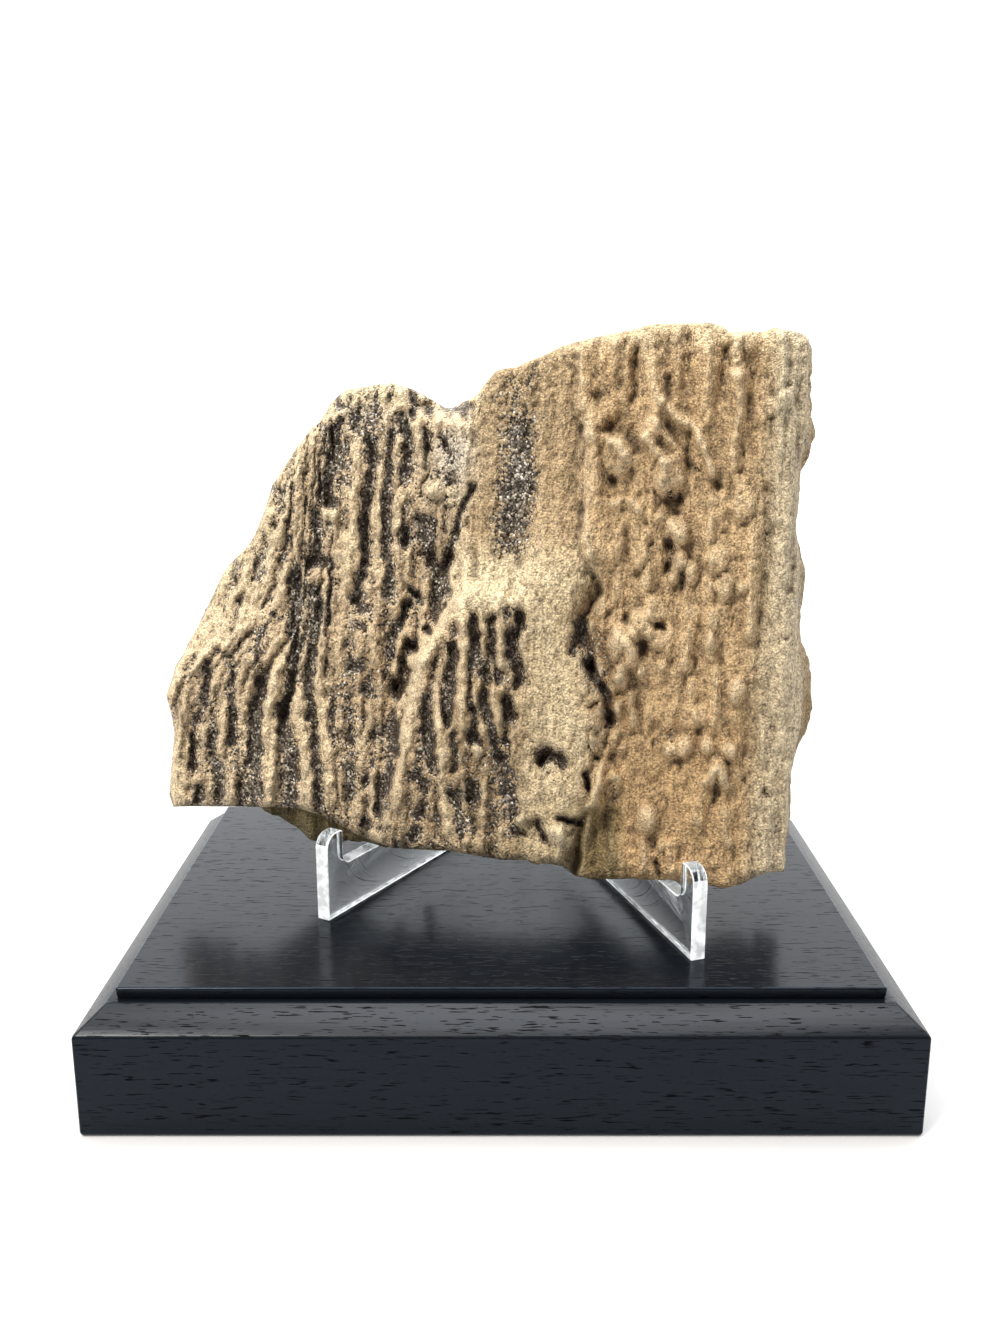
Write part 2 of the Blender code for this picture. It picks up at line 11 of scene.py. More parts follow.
import logging
import math
from collections.abc import Sequence
from dataclasses import dataclass, field
from enum import Enum

import bmesh
import bpy
import numpy as np
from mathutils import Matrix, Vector

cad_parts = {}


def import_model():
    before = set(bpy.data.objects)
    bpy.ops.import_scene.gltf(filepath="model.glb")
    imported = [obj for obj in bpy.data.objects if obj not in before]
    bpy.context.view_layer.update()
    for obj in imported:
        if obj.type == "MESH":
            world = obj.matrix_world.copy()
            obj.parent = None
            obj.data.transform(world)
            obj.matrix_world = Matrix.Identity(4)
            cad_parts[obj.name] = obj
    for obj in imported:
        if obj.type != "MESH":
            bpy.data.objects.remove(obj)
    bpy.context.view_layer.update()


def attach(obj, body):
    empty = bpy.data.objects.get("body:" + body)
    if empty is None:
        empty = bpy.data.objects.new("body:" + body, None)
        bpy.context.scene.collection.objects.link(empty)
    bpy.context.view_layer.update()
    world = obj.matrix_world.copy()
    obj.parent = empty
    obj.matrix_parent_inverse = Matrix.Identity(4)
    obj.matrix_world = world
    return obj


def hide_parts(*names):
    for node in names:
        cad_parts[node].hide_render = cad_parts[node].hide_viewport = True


MM = 0.001
LOG = logging.getLogger("petrified_wood")
Array = np.ndarray
Point = tuple[float, float]
Line = Sequence[Point]

# A soft stroke: its half width, relief and share of stain, then its line's points
Stroke = tuple

# A layer of noise: its strength, its cells across and up, and its seed
Layer = tuple[float, float, float, int]

# Random values that the noise and the knobs repeat after, across and up
NOISE_TABLE = (97, 89)
KNOB_TABLE = (61, 67)

# Cells that are added to a place, so that no place is negative
NOISE_SHIFT = 500.0
KNOB_SHIFT = 300.0

# Radius of the smallest and the largest knob, as shares of their spacing
KNOB_REACH = (0.45, 0.85)


class Slot(Enum):
    """Material slots of the model, which this script does not use."""

    STONE = "stone"
    ACRYLIC = "clear_acrylic"
    WOOD = "black_wood"


class Node(Enum):
    """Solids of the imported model."""

    STONE = "petrified_wood"
    EASEL = "acrylic_easel"
    BASE = "wood_base"


# Helpers for colour and nodes


def linear(code: str) -> tuple[float, float, float, float]:
    """Turn an sRGB hex colour into linear RGBA.

    Args:
        code: Six hex digits, with or without a leading hash.

    Returns:
        The linear colour with alpha 1.
    """
    digits = code.lstrip("#")
    parts = [int(digits[i:i + 2], 16) / 255 for i in (0, 2, 4)]
    red, green, blue = (
        part / 12.92 if part <= 0.04045 else ((part + 0.055) / 1.055) ** 2.4
        for part in parts
    )
    return red, green, blue, 1.0


def add_node(
    tree: bpy.types.NodeTree,
    kind: str,
    settings: dict | None = None,
    inputs: dict | None = None,
    stops: list[tuple] | tuple | None = None,
) -> bpy.types.Node:
    """Add a node with its settings and links.

    Args:
        tree: The tree that gets the node.
        kind: The node's type name.
        settings: Attributes of the node and their values.
        inputs: Input names or numbers, each with a value or an output socket.
        stops: For a colour ramp, its stops as (place, colour or grey value).

    Returns:
        The new node.
    """
    node = tree.nodes.new(kind)
    for name, value in (settings or {}).items():
        setattr(node, name, value)
    for name, value in (inputs or {}).items():
        if isinstance(value, bpy.types.NodeSocket):
            tree.links.new(value, node.inputs[name])
        else:
            node.inputs[name].default_value = value
    if stops:
        ramp = node.color_ramp
        while len(ramp.elements) < len(stops):
            ramp.elements.new(1.0)
        for element, (place, colour) in zip(ramp.elements, stops):
            element.position = place
            grey = isinstance(colour, (int, float))
            element.color = (colour, colour, colour, 1.0) if grey else colour
    return node


def new_material(name: str) -> tuple[bpy.types.Material, bpy.types.NodeTree]:
    """Make a node material without any nodes.

    Args:
        name: The material's name.

    Returns:
        The material and its empty node tree.
    """
    material = bpy.data.materials.new(name)
    material.use_nodes = True
    tree = material.node_tree
    tree.nodes.clear()
    return material, tree


def finish_material(tree: bpy.types.NodeTree, shader: bpy.types.Node) -> None:
    """Join a shader to the tree's output.

    Args:
        tree: The material's tree.
        shader: The last shader node.
    """
    add_node(tree, "ShaderNodeOutputMaterial", inputs={"Surface": shader.outputs[0]})


def per_mm(size: float) -> float:
    """Texture scale whose features measure about size millimetres."""
    return 1.0 / (size * MM)


def new_piece(name: str, mesh: bpy.types.Mesh, materials: list[bpy.types.Material],
              node: Node) -> bpy.types.Object:
    """Link a piece that stands for a solid and hide that solid.

    Args:
        name: The piece's name.
        mesh: Its mesh, whose faces already hold the numbers of their materials.
        materials: Its finishes.
        node: The solid that it stands for.

    Returns:
        The new object.
    """
    for material in materials:
        mesh.materials.append(material)
    piece = bpy.data.objects.new(name, mesh)
    bpy.context.scene.collection.objects.link(piece)
    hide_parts(node.value)
    LOG.info("%s: %d faces", name, len(mesh.polygons))
    return piece


# Finishes


@dataclass(frozen=True)
class SilicifiedWoodFinish:
    """Petrified wood: silica and clay in the grain of a tree, broken and weathered.

    The raised grain wears a matt sandy crust. The hollows hold fine quartz druse, which
    looks like pepper and salt. In the colour, the gaps between grains are darkened as
    painted shade, and the brightest druse grains are near white as painted glints. Crust
    and druse meet grain by grain, so each grain is wholly the one or the other.
    """

    # A real grain is 0.2 to 0.8 mm wide, and finer ones would not show in the render
    grain: float = 0.75
    sand: float = 1.6
    sand_height: float = 0.75
    crust_patch: float = 4.5
    fibre_width: float = 1.1
    fibre_stretch: float = 0.16
    # Colour kept in the gaps between grains of crust and of druse: painted shade
    crust_gap_shade: float = 0.66
    druse_gap_shade: float = 0.5
    # Mixed into hollows as dark clay and painted shade, and onto crowns as painted highlight
    crevice: str = "#3A2A18"
    crown: str = "#F2E0BC"
    ior: float = 1.54
    crust_roughness: float = 0.9
    facet_roughness: Point = (0.15, 0.55)
    # The last stops are near-white grains: painted glints on the druse
    druse_and_glint_tones: tuple = ((0.0, "#1E1811"), (0.3, "#3A3026"), (0.55, "#665B4D"),
                          (0.79, "#9A8D7B"), (0.91, "#D5C9B5"), (1.0, "#FFF8EA"))
    grain_tones: tuple = ((0.0, 0.46), (0.24, 0.84), (0.6, 1.02), (1.0, 1.18))
    patch_tones: tuple = ((0.3, 0.8), (0.55, 1.0), (0.75, 1.12))
    fibre_tones: tuple = ((0.3, 0.62), (0.5, 1.0), (0.75, 1.09))

    def build(self) -> bpy.types.Material:
        """Make the stone's material from its three point attributes.

        Returns:
            The material.
        """
        material, tree = new_material("petrified_wood_crust_and_druse")
        place = add_node(tree, "ShaderNodeTexCoord").outputs["Object"]
        cells = add_node(tree, "ShaderNodeTexVoronoi", inputs={
            "Vector": place, "Scale": per_mm(self.grain)})
        chance = add_node(tree, "ShaderNodeSeparateColor", inputs={
            "Color": cells.outputs["Color"]})
        mask = self.mask(tree, chance.outputs[0])
        fibres = self.fibres(tree, place)
        crust = self.crust(tree, place, chance.outputs[1], fibres)
        druse = add_node(tree, "ShaderNodeValToRGB", inputs={
            "Fac": chance.outputs[1]}, stops=[
            (spot, linear(code)) for spot, code in self.druse_and_glint_tones])
        colour = add_node(tree, "ShaderNodeMix", {"data_type": "RGBA"}, {
            "Factor": mask, 6: crust, 7: druse.outputs["Color"]})
        shade = add_node(tree, "ShaderNodeMix", {"data_type": "FLOAT"}, {
            "Factor": mask, 2: self.crust_gap_shade, 3: self.druse_gap_shade})
        # Painted shade: each grain darker towards its gap
        gap = add_node(tree, "ShaderNodeMapRange", inputs={
            "Value": cells.outputs["Distance"], "From Min": 0.3, "From Max": 0.8,
            "To Min": 1.04, "To Max": shade.outputs[0]})
        colour = add_node(tree, "ShaderNodeMix", {
            "data_type": "RGBA", "blend_type": "MULTIPLY"}, {
            "Factor": 1.0, 6: colour.outputs[2], 7: gap.outputs[0]})
        colour = self.hollow_clay_shade_and_crown_highlight(tree, colour.outputs[2])
        facets = add_node(tree, "ShaderNodeMapRange", inputs={
            "Value": chance.outputs[2], "To Min": self.facet_roughness[0],
            "To Max": self.facet_roughness[1]})
        rough = add_node(tree, "ShaderNodeMix", {"data_type": "FLOAT"}, {
            "Factor": mask, 2: self.crust_roughness, 3: facets.outputs[0]})
        bump = self.bump(tree, place, cells.outputs["Distance"], fibres)
        shader = add_node(tree, "ShaderNodeBsdfPrincipled", inputs={
            "Base Color": colour, "Roughness": rough.outputs[0], "Normal": bump,
            "IOR": self.ior})
        finish_material(tree, shader)
        return material

    def mask(self, tree: bpy.types.NodeTree, chance: bpy.types.NodeSocket
             ) -> bpy.types.NodeSocket:
        """Tell grain by grain, by chance, whether it is crust or druse.

        Args:
            tree: The material's tree.
            chance: A random value for each grain.

        Returns:
            0 on crust and 1 on druse.
        """
        share = add_node(tree, "ShaderNodeAttribute", {"attribute_name": "druse"})
        limit = add_node(tree, "ShaderNodeMapRange", inputs={
            "Value": chance, "To Min": 0.12, "To Max": 0.88})
        lead = add_node(tree, "ShaderNodeMath", {"operation": "SUBTRACT"}, {
            0: share.outputs["Fac"], 1: limit.outputs[0]})
        return add_node(tree, "ShaderNodeMapRange", inputs={
            "Value": lead.outputs[0], "From Min": -0.08, "From Max": 0.08}).outputs[0]

    def drawn_out(self, tree: bpy.types.NodeTree, place: bpy.types.NodeSocket,
                  size: float) -> bpy.types.NodeSocket:
        """Noise drawn out along the trunk.

        Args:
            tree: The material's tree.
            place: Coordinates in the stone's own frame.
            size: Width of its features in millimetres.

        Returns:
            The noise from 0 to 1.
        """
        stretched = add_node(tree, "ShaderNodeMapping", inputs={
            "Vector": place, "Scale": (1.0, 1.0, self.fibre_stretch)})
        return add_node(tree, "ShaderNodeTexNoise", inputs={
            "Vector": stretched.outputs[0], "Scale": per_mm(size),
            "Detail": 3.0}).outputs["Fac"]

    def fibres(self, tree: bpy.types.NodeTree, place: bpy.types.NodeSocket
               ) -> bpy.types.NodeSocket:
        """Fine fibres of the old wood's grain."""
        return self.drawn_out(tree, place, self.fibre_width)

    def crust(self, tree: bpy.types.NodeTree, place: bpy.types.NodeSocket,
              chance: bpy.types.NodeSocket, fibres: bpy.types.NodeSocket
              ) -> bpy.types.NodeSocket:
        """Sandy crust: the stain of each region under grains, patches and fibres.

        Args:
            tree: The material's tree.
            place: Coordinates in the stone's own frame.
            chance: A random value for each grain.
            fibres: Fine fibres, low in the grooves between them.

        Returns:
            The crust's colour.
        """
        colour = add_node(tree, "ShaderNodeAttribute", {
            "attribute_name": "stain"}).outputs["Color"]
        patch = self.drawn_out(tree, place, self.crust_patch)
        for value, stops in (
            (chance, self.grain_tones),
            (patch, self.patch_tones),
            (fibres, self.fibre_tones),
        ):
            ramp = add_node(tree, "ShaderNodeValToRGB", inputs={"Fac": value},
                            stops=stops)
            colour = add_node(tree, "ShaderNodeMix", {
                "data_type": "RGBA", "blend_type": "MULTIPLY"}, {
                "Factor": 1.0, 6: colour, 7: ramp.outputs["Color"]}).outputs[2]
        return colour

    def hollow_clay_shade_and_crown_highlight(self, tree: bpy.types.NodeTree, colour: bpy.types.NodeSocket
                ) -> bpy.types.NodeSocket:
        """Dark clay and painted shade in the hollows, and a painted highlight on the crowns.

        Args:
            tree: The material's tree.
            colour: The grains' colour.

        Returns:
            The colour with shade in the hollows and highlight on the crowns.
        """
        crevice = add_node(tree, "ShaderNodeAttribute", {"attribute_name": "crevice"})
        for low, high, most, code in ((0.05, 1.0, 0.85, self.crevice),
                                      (-0.1, -0.9, 0.35, self.crown)):
            share = add_node(tree, "ShaderNodeMapRange", inputs={
                "Value": crevice.outputs["Fac"], "From Min": low, "From Max": high,
                "To Min": 0.0, "To Max": most})
            colour = add_node(tree, "ShaderNodeMix", {"data_type": "RGBA"}, {
                "Factor": share.outputs[0], 6: colour, 7: linear(code)}).outputs[2]
        return colour

    def bump(self, tree: bpy.types.NodeTree, place: bpy.types.NodeSocket,
             distance: bpy.types.NodeSocket, fibres: bpy.types.NodeSocket
             ) -> bpy.types.NodeSocket:
        """Height of the fibres and of the grains, each mound with gaps around it.

        Args:
            tree: The material's tree.
            place: Coordinates in the stone's own frame.
            distance: Distance from each grain's middle.
            fibres: Fine fibres, low in the grooves between them.

        Returns:
            The bumped normal.
        """
        sand = add_node(tree, "ShaderNodeTexNoise", inputs={
            "Vector": place, "Scale": per_mm(self.sand), "Detail": 2.0,
            "Roughness": 0.6})
        height = add_node(tree, "ShaderNodeMath", {"operation": "MULTIPLY_ADD"}, {
            0: distance, 1: -0.8, 2: sand.outputs["Fac"]})
        height = add_node(tree, "ShaderNodeMath", {"operation": "MULTIPLY_ADD"}, {
            0: fibres, 1: 1.5, 2: height.outputs[0]})
        return add_node(tree, "ShaderNodeBump", inputs={
            "Height": height.outputs[0], "Strength": 1.0,
            "Distance": self.sand_height * MM}).outputs[0]


@dataclass(frozen=True)
class CastAcrylicFinish:
    """Cast acrylic sheet (PMMA), laser cut and flame polished: water clear, glossy.

    Its faces are clear. Its cut edges are painted light: a whitish, half clear colour
    and a glow in soft streaks stand in for the light that the whole sheet gathers.
    """

    ior: float = 1.49
    roughness: float = 0.015
    tint: str = "#FAFDFD"
    drag_spacing: float = 9.0
    drag_height: float = 0.12
    edge_clear: float = 0.45
    edge_roughness: float = 0.14
    # The edge's whitish colour and glow are painted light, standing in for the light the sheet
    # gathers
    edge_painted_glow: Point = (0.1, 0.6)
    edge_streak: float = 3.5
    edge_painted_white: str = "#F2F6F7"
    edge_glow_colour: str = "#F4F8FA"

    def edge(self) -> bpy.types.Material:
        """Make the cut edge, whose whitish colour and glow are painted light.

        Returns:
            The material.
        """
        material, tree = new_material("polished_acrylic_edge_painted_glow")
        place = add_node(tree, "ShaderNodeTexCoord").outputs["Object"]
        streak = add_node(tree, "ShaderNodeTexNoise", inputs={
            "Vector": place, "Scale": per_mm(self.edge_streak), "Detail": 2.0})
        # Painted glow in soft streaks
        painted_glow = add_node(tree, "ShaderNodeMapRange", inputs={
            "Value": streak.outputs["Fac"], "From Min": 0.4, "From Max": 0.65,
            "To Min": self.edge_painted_glow[0], "To Max": self.edge_painted_glow[1]})
        shader = add_node(tree, "ShaderNodeBsdfPrincipled", inputs={
            "Base Color": linear(self.edge_painted_white), "Roughness": self.edge_roughness,
            "IOR": self.ior, "Transmission Weight": self.edge_clear,
            "Emission Color": linear(self.edge_glow_colour),
            "Emission Strength": painted_glow.outputs[0]})
        finish_material(tree, shader)
        return material

    def build(self) -> bpy.types.Material:
        """Make the clear plastic with faint drag lines from the cutting.

        Returns:
            The material.
        """
        material, tree = new_material("clear_cast_acrylic")
        place = add_node(tree, "ShaderNodeTexCoord").outputs["Object"]
        drag = add_node(tree, "ShaderNodeTexNoise", inputs={
            "Vector": place, "Scale": per_mm(self.drag_spacing), "Detail": 1.0})
        bump = add_node(tree, "ShaderNodeBump", inputs={
            "Height": drag.outputs["Fac"], "Strength": 0.05,
            "Distance": self.drag_height * MM})
        shader = add_node(tree, "ShaderNodeBsdfPrincipled", inputs={
            "Base Color": linear(self.tint), "Roughness": self.roughness,
            "IOR": self.ior, "Transmission Weight": 1.0, "Normal": bump.outputs[0]})
        finish_material(tree, shader)
        return material


@dataclass(frozen=True)
class StainedWoodFinish:
    """Black-stained open-pore hardwood under a satin lacquer.

    The stain leaves the pores darker than the face, as short dashes along the grain,
    and the lacquer sinks a little into each of them.
    """

    # Real pores are about 0.1 to 0.3 mm wide and a few millimetres long
    pore_length: float = 3.8
    pore_width: float = 0.28
    pore_depth: float = 0.12
    pore_limits: Point = (0.755, 0.79)
    pore_roughness: float = 0.6
    pore_specular: float = 0.08
    pore_crowding: float = 0.22
    grain_length: float = 60.0
    grain_width: float = 2.2
    face: str = "#0B0E13"
    late_wood: str = "#12171D"
    pore: str = "#020203"
    sheen: str = "#C2D2E8"
    specular: float = 0.24
    roughness: float = 0.2
    grain_relief: float = 0.25
    name: str = "black_stained_open_pore_wood"

    def build(self) -> bpy.types.Material:
        """Make the wood with its pores along X.

        Returns:
            The material.
        """
        material, tree = new_material(self.name)
        place = add_node(tree, "ShaderNodeTexCoord").outputs["Object"]
        along = self.pore_width / self.pore_length
        pore_map = add_node(tree, "ShaderNodeMapping", inputs={
            "Vector": place, "Scale": (along, 1.0, 1.0)})
        pores = add_node(tree, "ShaderNodeTexNoise", inputs={
            "Vector": pore_map.outputs[0], "Scale": per_mm(self.pore_width * 1.6),
            "Detail": 1.0})
        grain_map = add_node(tree, "ShaderNodeMapping", inputs={
            "Vector": place, "Scale": (self.grain_width / self.grain_length, 1.0, 1.0)})
        grain = add_node(tree, "ShaderNodeTexNoise", inputs={
            "Vector": grain_map.outputs[0], "Scale": per_mm(self.grain_width),
            "Detail": 3.0})
        crowd = add_node(tree, "ShaderNodeMath", {"operation": "MULTIPLY_ADD"}, {
            0: grain.outputs["Fac"], 1: self.pore_crowding, 2: pores.outputs["Fac"]})
        dash = add_node(tree, "ShaderNodeMapRange", inputs={
            "Value": crowd.outputs[0], "From Min": self.pore_limits[0],
            "From Max": self.pore_limits[1]})
        face = add_node(tree, "ShaderNodeMix", {"data_type": "RGBA"}, {
            "Factor": grain.outputs["Fac"], 6: linear(self.face),
            7: linear(self.late_wood)})
        colour = add_node(tree, "ShaderNodeMix", {"data_type": "RGBA"}, {
            "Factor": dash.outputs[0], 6: face.outputs[2], 7: linear(self.pore)})
        rough = add_node(tree, "ShaderNodeMapRange", inputs={
            "Value": dash.outputs[0], "To Min": self.roughness,
            "To Max": self.pore_roughness})
        gloss = add_node(tree, "ShaderNodeMapRange", inputs={
            "Value": dash.outputs[0], "To Min": self.specular,
            "To Max": self.pore_specular})
        depth = add_node(tree, "ShaderNodeMath", {"operation": "MULTIPLY_ADD"}, {
            0: dash.outputs[0], 1: -1.0, 2: grain.outputs["Fac"]})
        bump = add_node(tree, "ShaderNodeBump", inputs={
            "Height": depth.outputs[0], "Strength": self.grain_relief,
            "Distance": self.pore_depth * MM})
        shader = add_node(tree, "ShaderNodeBsdfPrincipled", inputs={
            "Base Color": colour.outputs[2], "Roughness": rough.outputs[0],
            "Normal": bump.outputs[0], "IOR": 1.5, "Specular IOR Level": gloss.outputs[0],
            "Specular Tint": linear(self.sheen)})
        finish_material(tree, shader)
        return material


@dataclass(frozen=True)
class PaperSweepFinish:
    """White opal sweep of a small studio: matt, even and faintly lit from below."""

    shade: str = "#C4C4C4"
    glow: float = 0.15

    def build(self) -> bpy.types.Material:
        """Make the floor's material.

        Returns:
            The material.
        """
        material, tree = new_material("white_paper_sweep")
        shader = add_node(tree, "ShaderNodeBsdfPrincipled", inputs={
            "Base Color": linear(self.shade), "Roughness": 0.9,
            "Emission Color": linear("#FFFFFF"), "Emission Strength": self.glow})
        finish_material(tree, shader)
        return material


# Shape functions


def smooth(value: Array | float) -> Array:
    """Smooth step from 0 at 0 to 1 at 1."""
    value = np.clip(value, 0.0, 1.0)
    return value * value * (3.0 - 2.0 * value)


def lattice_noise(x: Array, z: Array, cell_x: float, cell_z: float, seed: int) -> Array:
    """Smooth noise from -1 to 1 on a lattice of random values.

    Args:
        x: Places across.
        z: Places up.
        cell_x: Lattice cell across.
        cell_z: Lattice cell up.
        seed: Seed of the values.

    Returns:
        The noise at each place.
    """
    wide, high = NOISE_TABLE
    values = np.random.default_rng(seed).uniform(-1, 1, NOISE_TABLE)
    x = x / cell_x + NOISE_SHIFT
    z = z / cell_z + NOISE_SHIFT
    column = np.floor(x).astype(int)
    row = np.floor(z).astype(int)
    share_x = smooth(x - column)
    share_z = smooth(z - row)
    corner = [values[(column + i) % wide, (row + j) % high]
              for i in (0, 1) for j in (0, 1)]
    before = corner[0] * (1 - share_z) + corner[1] * share_z
    after = corner[2] * (1 - share_z) + corner[3] * share_z
    return before * (1 - share_x) + after * share_x


def layered_noise(x: Array, z: Array, layers: tuple[Layer, ...]) -> Array:
    """Sum of several layers of noise."""
    return sum(strength * lattice_noise(x, z, cell_x, cell_z, seed)
               for strength, cell_x, cell_z, seed in layers)


def domes(x: Array, z: Array, cell_x: float, cell_z: float, seed: int) -> Array:
    """Rounded knobs at jittered places, 1 on a crown and 0 between them.

    Args:
        x: Places across.
        z: Places up.
        cell_x: Spacing across.
        cell_z: Spacing up.
        seed: Seed of the jitter.

    Returns:
        The height at each place.
    """
    wide, high = KNOB_TABLE
    jitter = np.random.default_rng(seed).uniform(0, 1, (wide, high, 3))
    x = x / cell_x + KNOB_SHIFT
    z = z / cell_z + KNOB_SHIFT
    column = np.floor(x).astype(int)
    row = np.floor(z).astype(int)
    height = np.zeros(np.shape(x))
    for i in (-1, 0, 1):
        for j in (-1, 0, 1):
            spot = jitter[(column + i) % wide, (row + j) % high]
            away = np.hypot(x - column - i - spot[..., 0], z - row - j - spot[..., 1])
            reach = KNOB_REACH[0] + (KNOB_REACH[1] - KNOB_REACH[0]) * spot[..., 2]
            crown = np.sqrt(np.maximum(0.0, 1 - (away / reach) ** 2))
            height = np.maximum(height, crown * reach / KNOB_REACH[1])
    return height


def line_distance(x: Array, z: Array, points: Line) -> Array:
    """Distance from each place to a line through the points, or to one point.

    Args:
        x: Places across.
        z: Places up.
        points: The line's points.

    Returns:
        The distance at each place.
    """
    spots = [np.array(point, dtype=float) for point in points]
    if len(spots) == 1:
        return np.hypot(x - spots[0][0], z - spots[0][1])
    nearest = np.full(np.shape(x), np.inf)
    for first, second in zip(spots, spots[1:]):
        step = second - first
        share = ((x - first[0]) * step[0] + (z - first[1]) * step[1]) / (step @ step)
        share = np.clip(share, 0, 1)
        gap = np.hypot(x - first[0] - share * step[0], z - first[1] - share * step[1])
        nearest = np.minimum(nearest, gap)
    return nearest


def strokes(x: Array, z: Array, marks: tuple[Stroke, ...], part: int) -> Array:
    """Sum of soft strokes, each given as half width, relief, share and points.

    Args:
        x: Places across.
        z: Places up.
        marks: The strokes.
        part: 1 to sum their relief, 2 to sum their share.

    Returns:
        The sum at each place.
    """
    total = np.zeros(np.shape(x))
    for mark in marks:
        half_width, strength, points = mark[0], mark[part], mark[3:]
        reach = 3.0 * half_width
        low = np.min(points, axis=0) - reach
        high = np.max(points, axis=0) + reach
        near = (x > low[0]) & (x < high[0]) & (z > low[1]) & (z < high[1])
        away = line_distance(x[near], z[near], points) / half_width
        total[near] += strength * np.exp(-away ** 2)
    return total


def side_point(side: Line, t: Array) -> Array:
    """Points at shares t of the length of an outline side.

    Args:
        side: The side's points.
        t: Shares from 0 to 1.

    Returns:
        The points, one a row.
    """
    points = np.array(side, dtype=float)
    steps = np.hypot(*np.diff(points, axis=0).T)
    reach = np.concatenate(([0.0], np.cumsum(steps))) / steps.sum()
    return np.column_stack((np.interp(t, reach, points[:, 0]),
                            np.interp(t, reach, points[:, 1])))


def fill_patch(bottom: Array, top: Array, left: Array, right: Array) -> Array:
    """Coons patch between four rows of points that share their corners.

    Args:
        bottom: Row from the lower left to the lower right corner.
        top: Row from the upper left to the upper right corner.
        left: Row from the lower left to the upper left corner.
        right: Row from the lower right to the upper right corner.

    Returns:
        A grid of points, across by up.
    """
    a = np.linspace(0, 1, len(bottom))[:, None, None]
    b = np.linspace(0, 1, len(left))[None, :, None]
    ruled = (1 - b) * bottom[:, None] + b * top[:, None]
    ruled = ruled + (1 - a) * left[None] + a * right[None]
    corners = (1 - a) * (1 - b) * bottom[0] + a * (1 - b) * bottom[-1]
    corners = corners + (1 - a) * b * top[0] + a * b * top[-1]
    return ruled - corners


def ring_of(grid: Array) -> Array:
    """Border of a grid as one closed row, counter-clockwise from the lower left."""
    return np.concatenate((grid[:-1, 0], grid[-1, :-1], grid[:0:-1, -1], grid[0, :0:-1]))


def round_over(distance: Array, radius: float) -> Array:
    """How far a rounded edge falls back at a distance from the edge."""
    inner = np.clip(radius - distance, 0.0, radius)
    return radius - np.sqrt(np.maximum(radius ** 2 - inner ** 2, 0.0))


def line_at(z: Array, line: Line) -> Array:
    """Places across of a line given by height, at each height."""
    heights, places = np.array(line, dtype=float).T
    return np.interp(z, heights, places)


def step_past(x: Array, z: Array, line: Line, width: float) -> Array:
    """0 left of a line given by height, rising to 1 over the width right of it."""
    return smooth((x - line_at(z, line)) / width + 0.5)


def blur(grid: Array, cells: int) -> Array:
    """Mean of a grid over a square of cells either way, done one way at a time.

    Args:
        grid: The values.
        cells: Reach of the mean either way.

    Returns:
        The means, as many as the values.
    """
    for axis in (0, 1):
        padded = np.concatenate((np.repeat(grid.take([0], axis), cells + 1, axis), grid,
                                 np.repeat(grid.take([-1], axis), cells, axis)), axis)
        total = np.cumsum(padded, axis)
        size = grid.shape[axis]
        high = total.take(np.arange(2 * cells + 1, 2 * cells + 1 + size), axis)
        low = total.take(np.arange(size), axis)
        grid = (high - low) / (2 * cells + 1)
    return grid


# Stone


@dataclass
class SlabOutline:
    """Outline of the slab's face in its own frame, across and up the grain."""

    left: Line = (
        (-114.5, 18), (-116, 22), (-115.5, 30), (-114.5, 44), (-115.7, 50), (-117.6, 56),
        (-115.5, 62), (-114.3, 66.5), (-111.5, 70.5), (-110, 74), (-106.5, 80),
        (-102, 89.5), (-98, 98), (-95.3, 101.7), (-89.7, 107), (-87, 111), (-83.5, 119.6),
        (-81, 128), (-77.5, 133), (-72.7, 140.6), (-71.3, 142), (-68, 146.5),
        (-65.3, 148.4), (-61.3, 155), (-58, 158))
    top: Line = (
        (-58, 158), (-55.7, 159.4), (-50, 160.2), (-45.3, 161.1), (-40, 161.4),
        (-33, 159), (-29.8, 157.4), (-26, 155.4), (-23.3, 153.7), (-20.8, 153.5),
        (-17.7, 155.2), (-13.2, 157.4), (-9.7, 161.8), (-7, 165.1), (-4.3, 166),
        (0, 166.5), (3.5, 168.3), (7.5, 169.7), (14, 173), (20, 174.7), (30.5, 177),
        (36, 178), (40.5, 179.3), (44, 179.8), (60, 180), (64, 179), (66, 177),
        (72.5, 177.5), (76, 177), (79.5, 178.5), (85.7, 177.2), (89, 176))
    right: Line = (
        (90, 10), (89.5, 17), (90.2, 25), (90, 38), (91, 46), (92, 56), (91, 68),
        (90, 88), (90, 105), (88.3, 120), (88.3, 134), (90.5, 147), (90.3, 160),
        (90.2, 172), (89, 176))
    bottom: Line = (
        (-114.5, 18), (-108, 18.6), (-100, 19), (-90, 19.6), (-81, 20), (-70, 20.5),
        (-60, 18), (-55, 15.5), (-50, 13), (-42.5, 10.5), (-37, 9), (-30, 9),
        (-18, 9.3), (-10, 8.5), (0, 7.5), (8, 8), (11, 6.6), (16, 7.7), (20.5, 6.7),
        (24, 4), (29, 3.2), (40, 4), (50, 4.4), (67, 3.8), (71.5, 3.2), (77, 5),
        (80.5, 7.3), (85, 9.3), (90, 10))

    def grid(self, columns: int, rows: int) -> Array:
        """Fill the outline with a grid of points.

        Args:
            columns: Cells across.
            rows: Cells up.

        Returns:
            The points, across by up.
        """
        across = np.linspace(0, 1, columns + 1)
        up = np.linspace(0, 1, rows + 1)
        return fill_patch(side_point(self.bottom, across), side_point(self.top, across),
                          side_point(self.left, up), side_point(self.right, up))


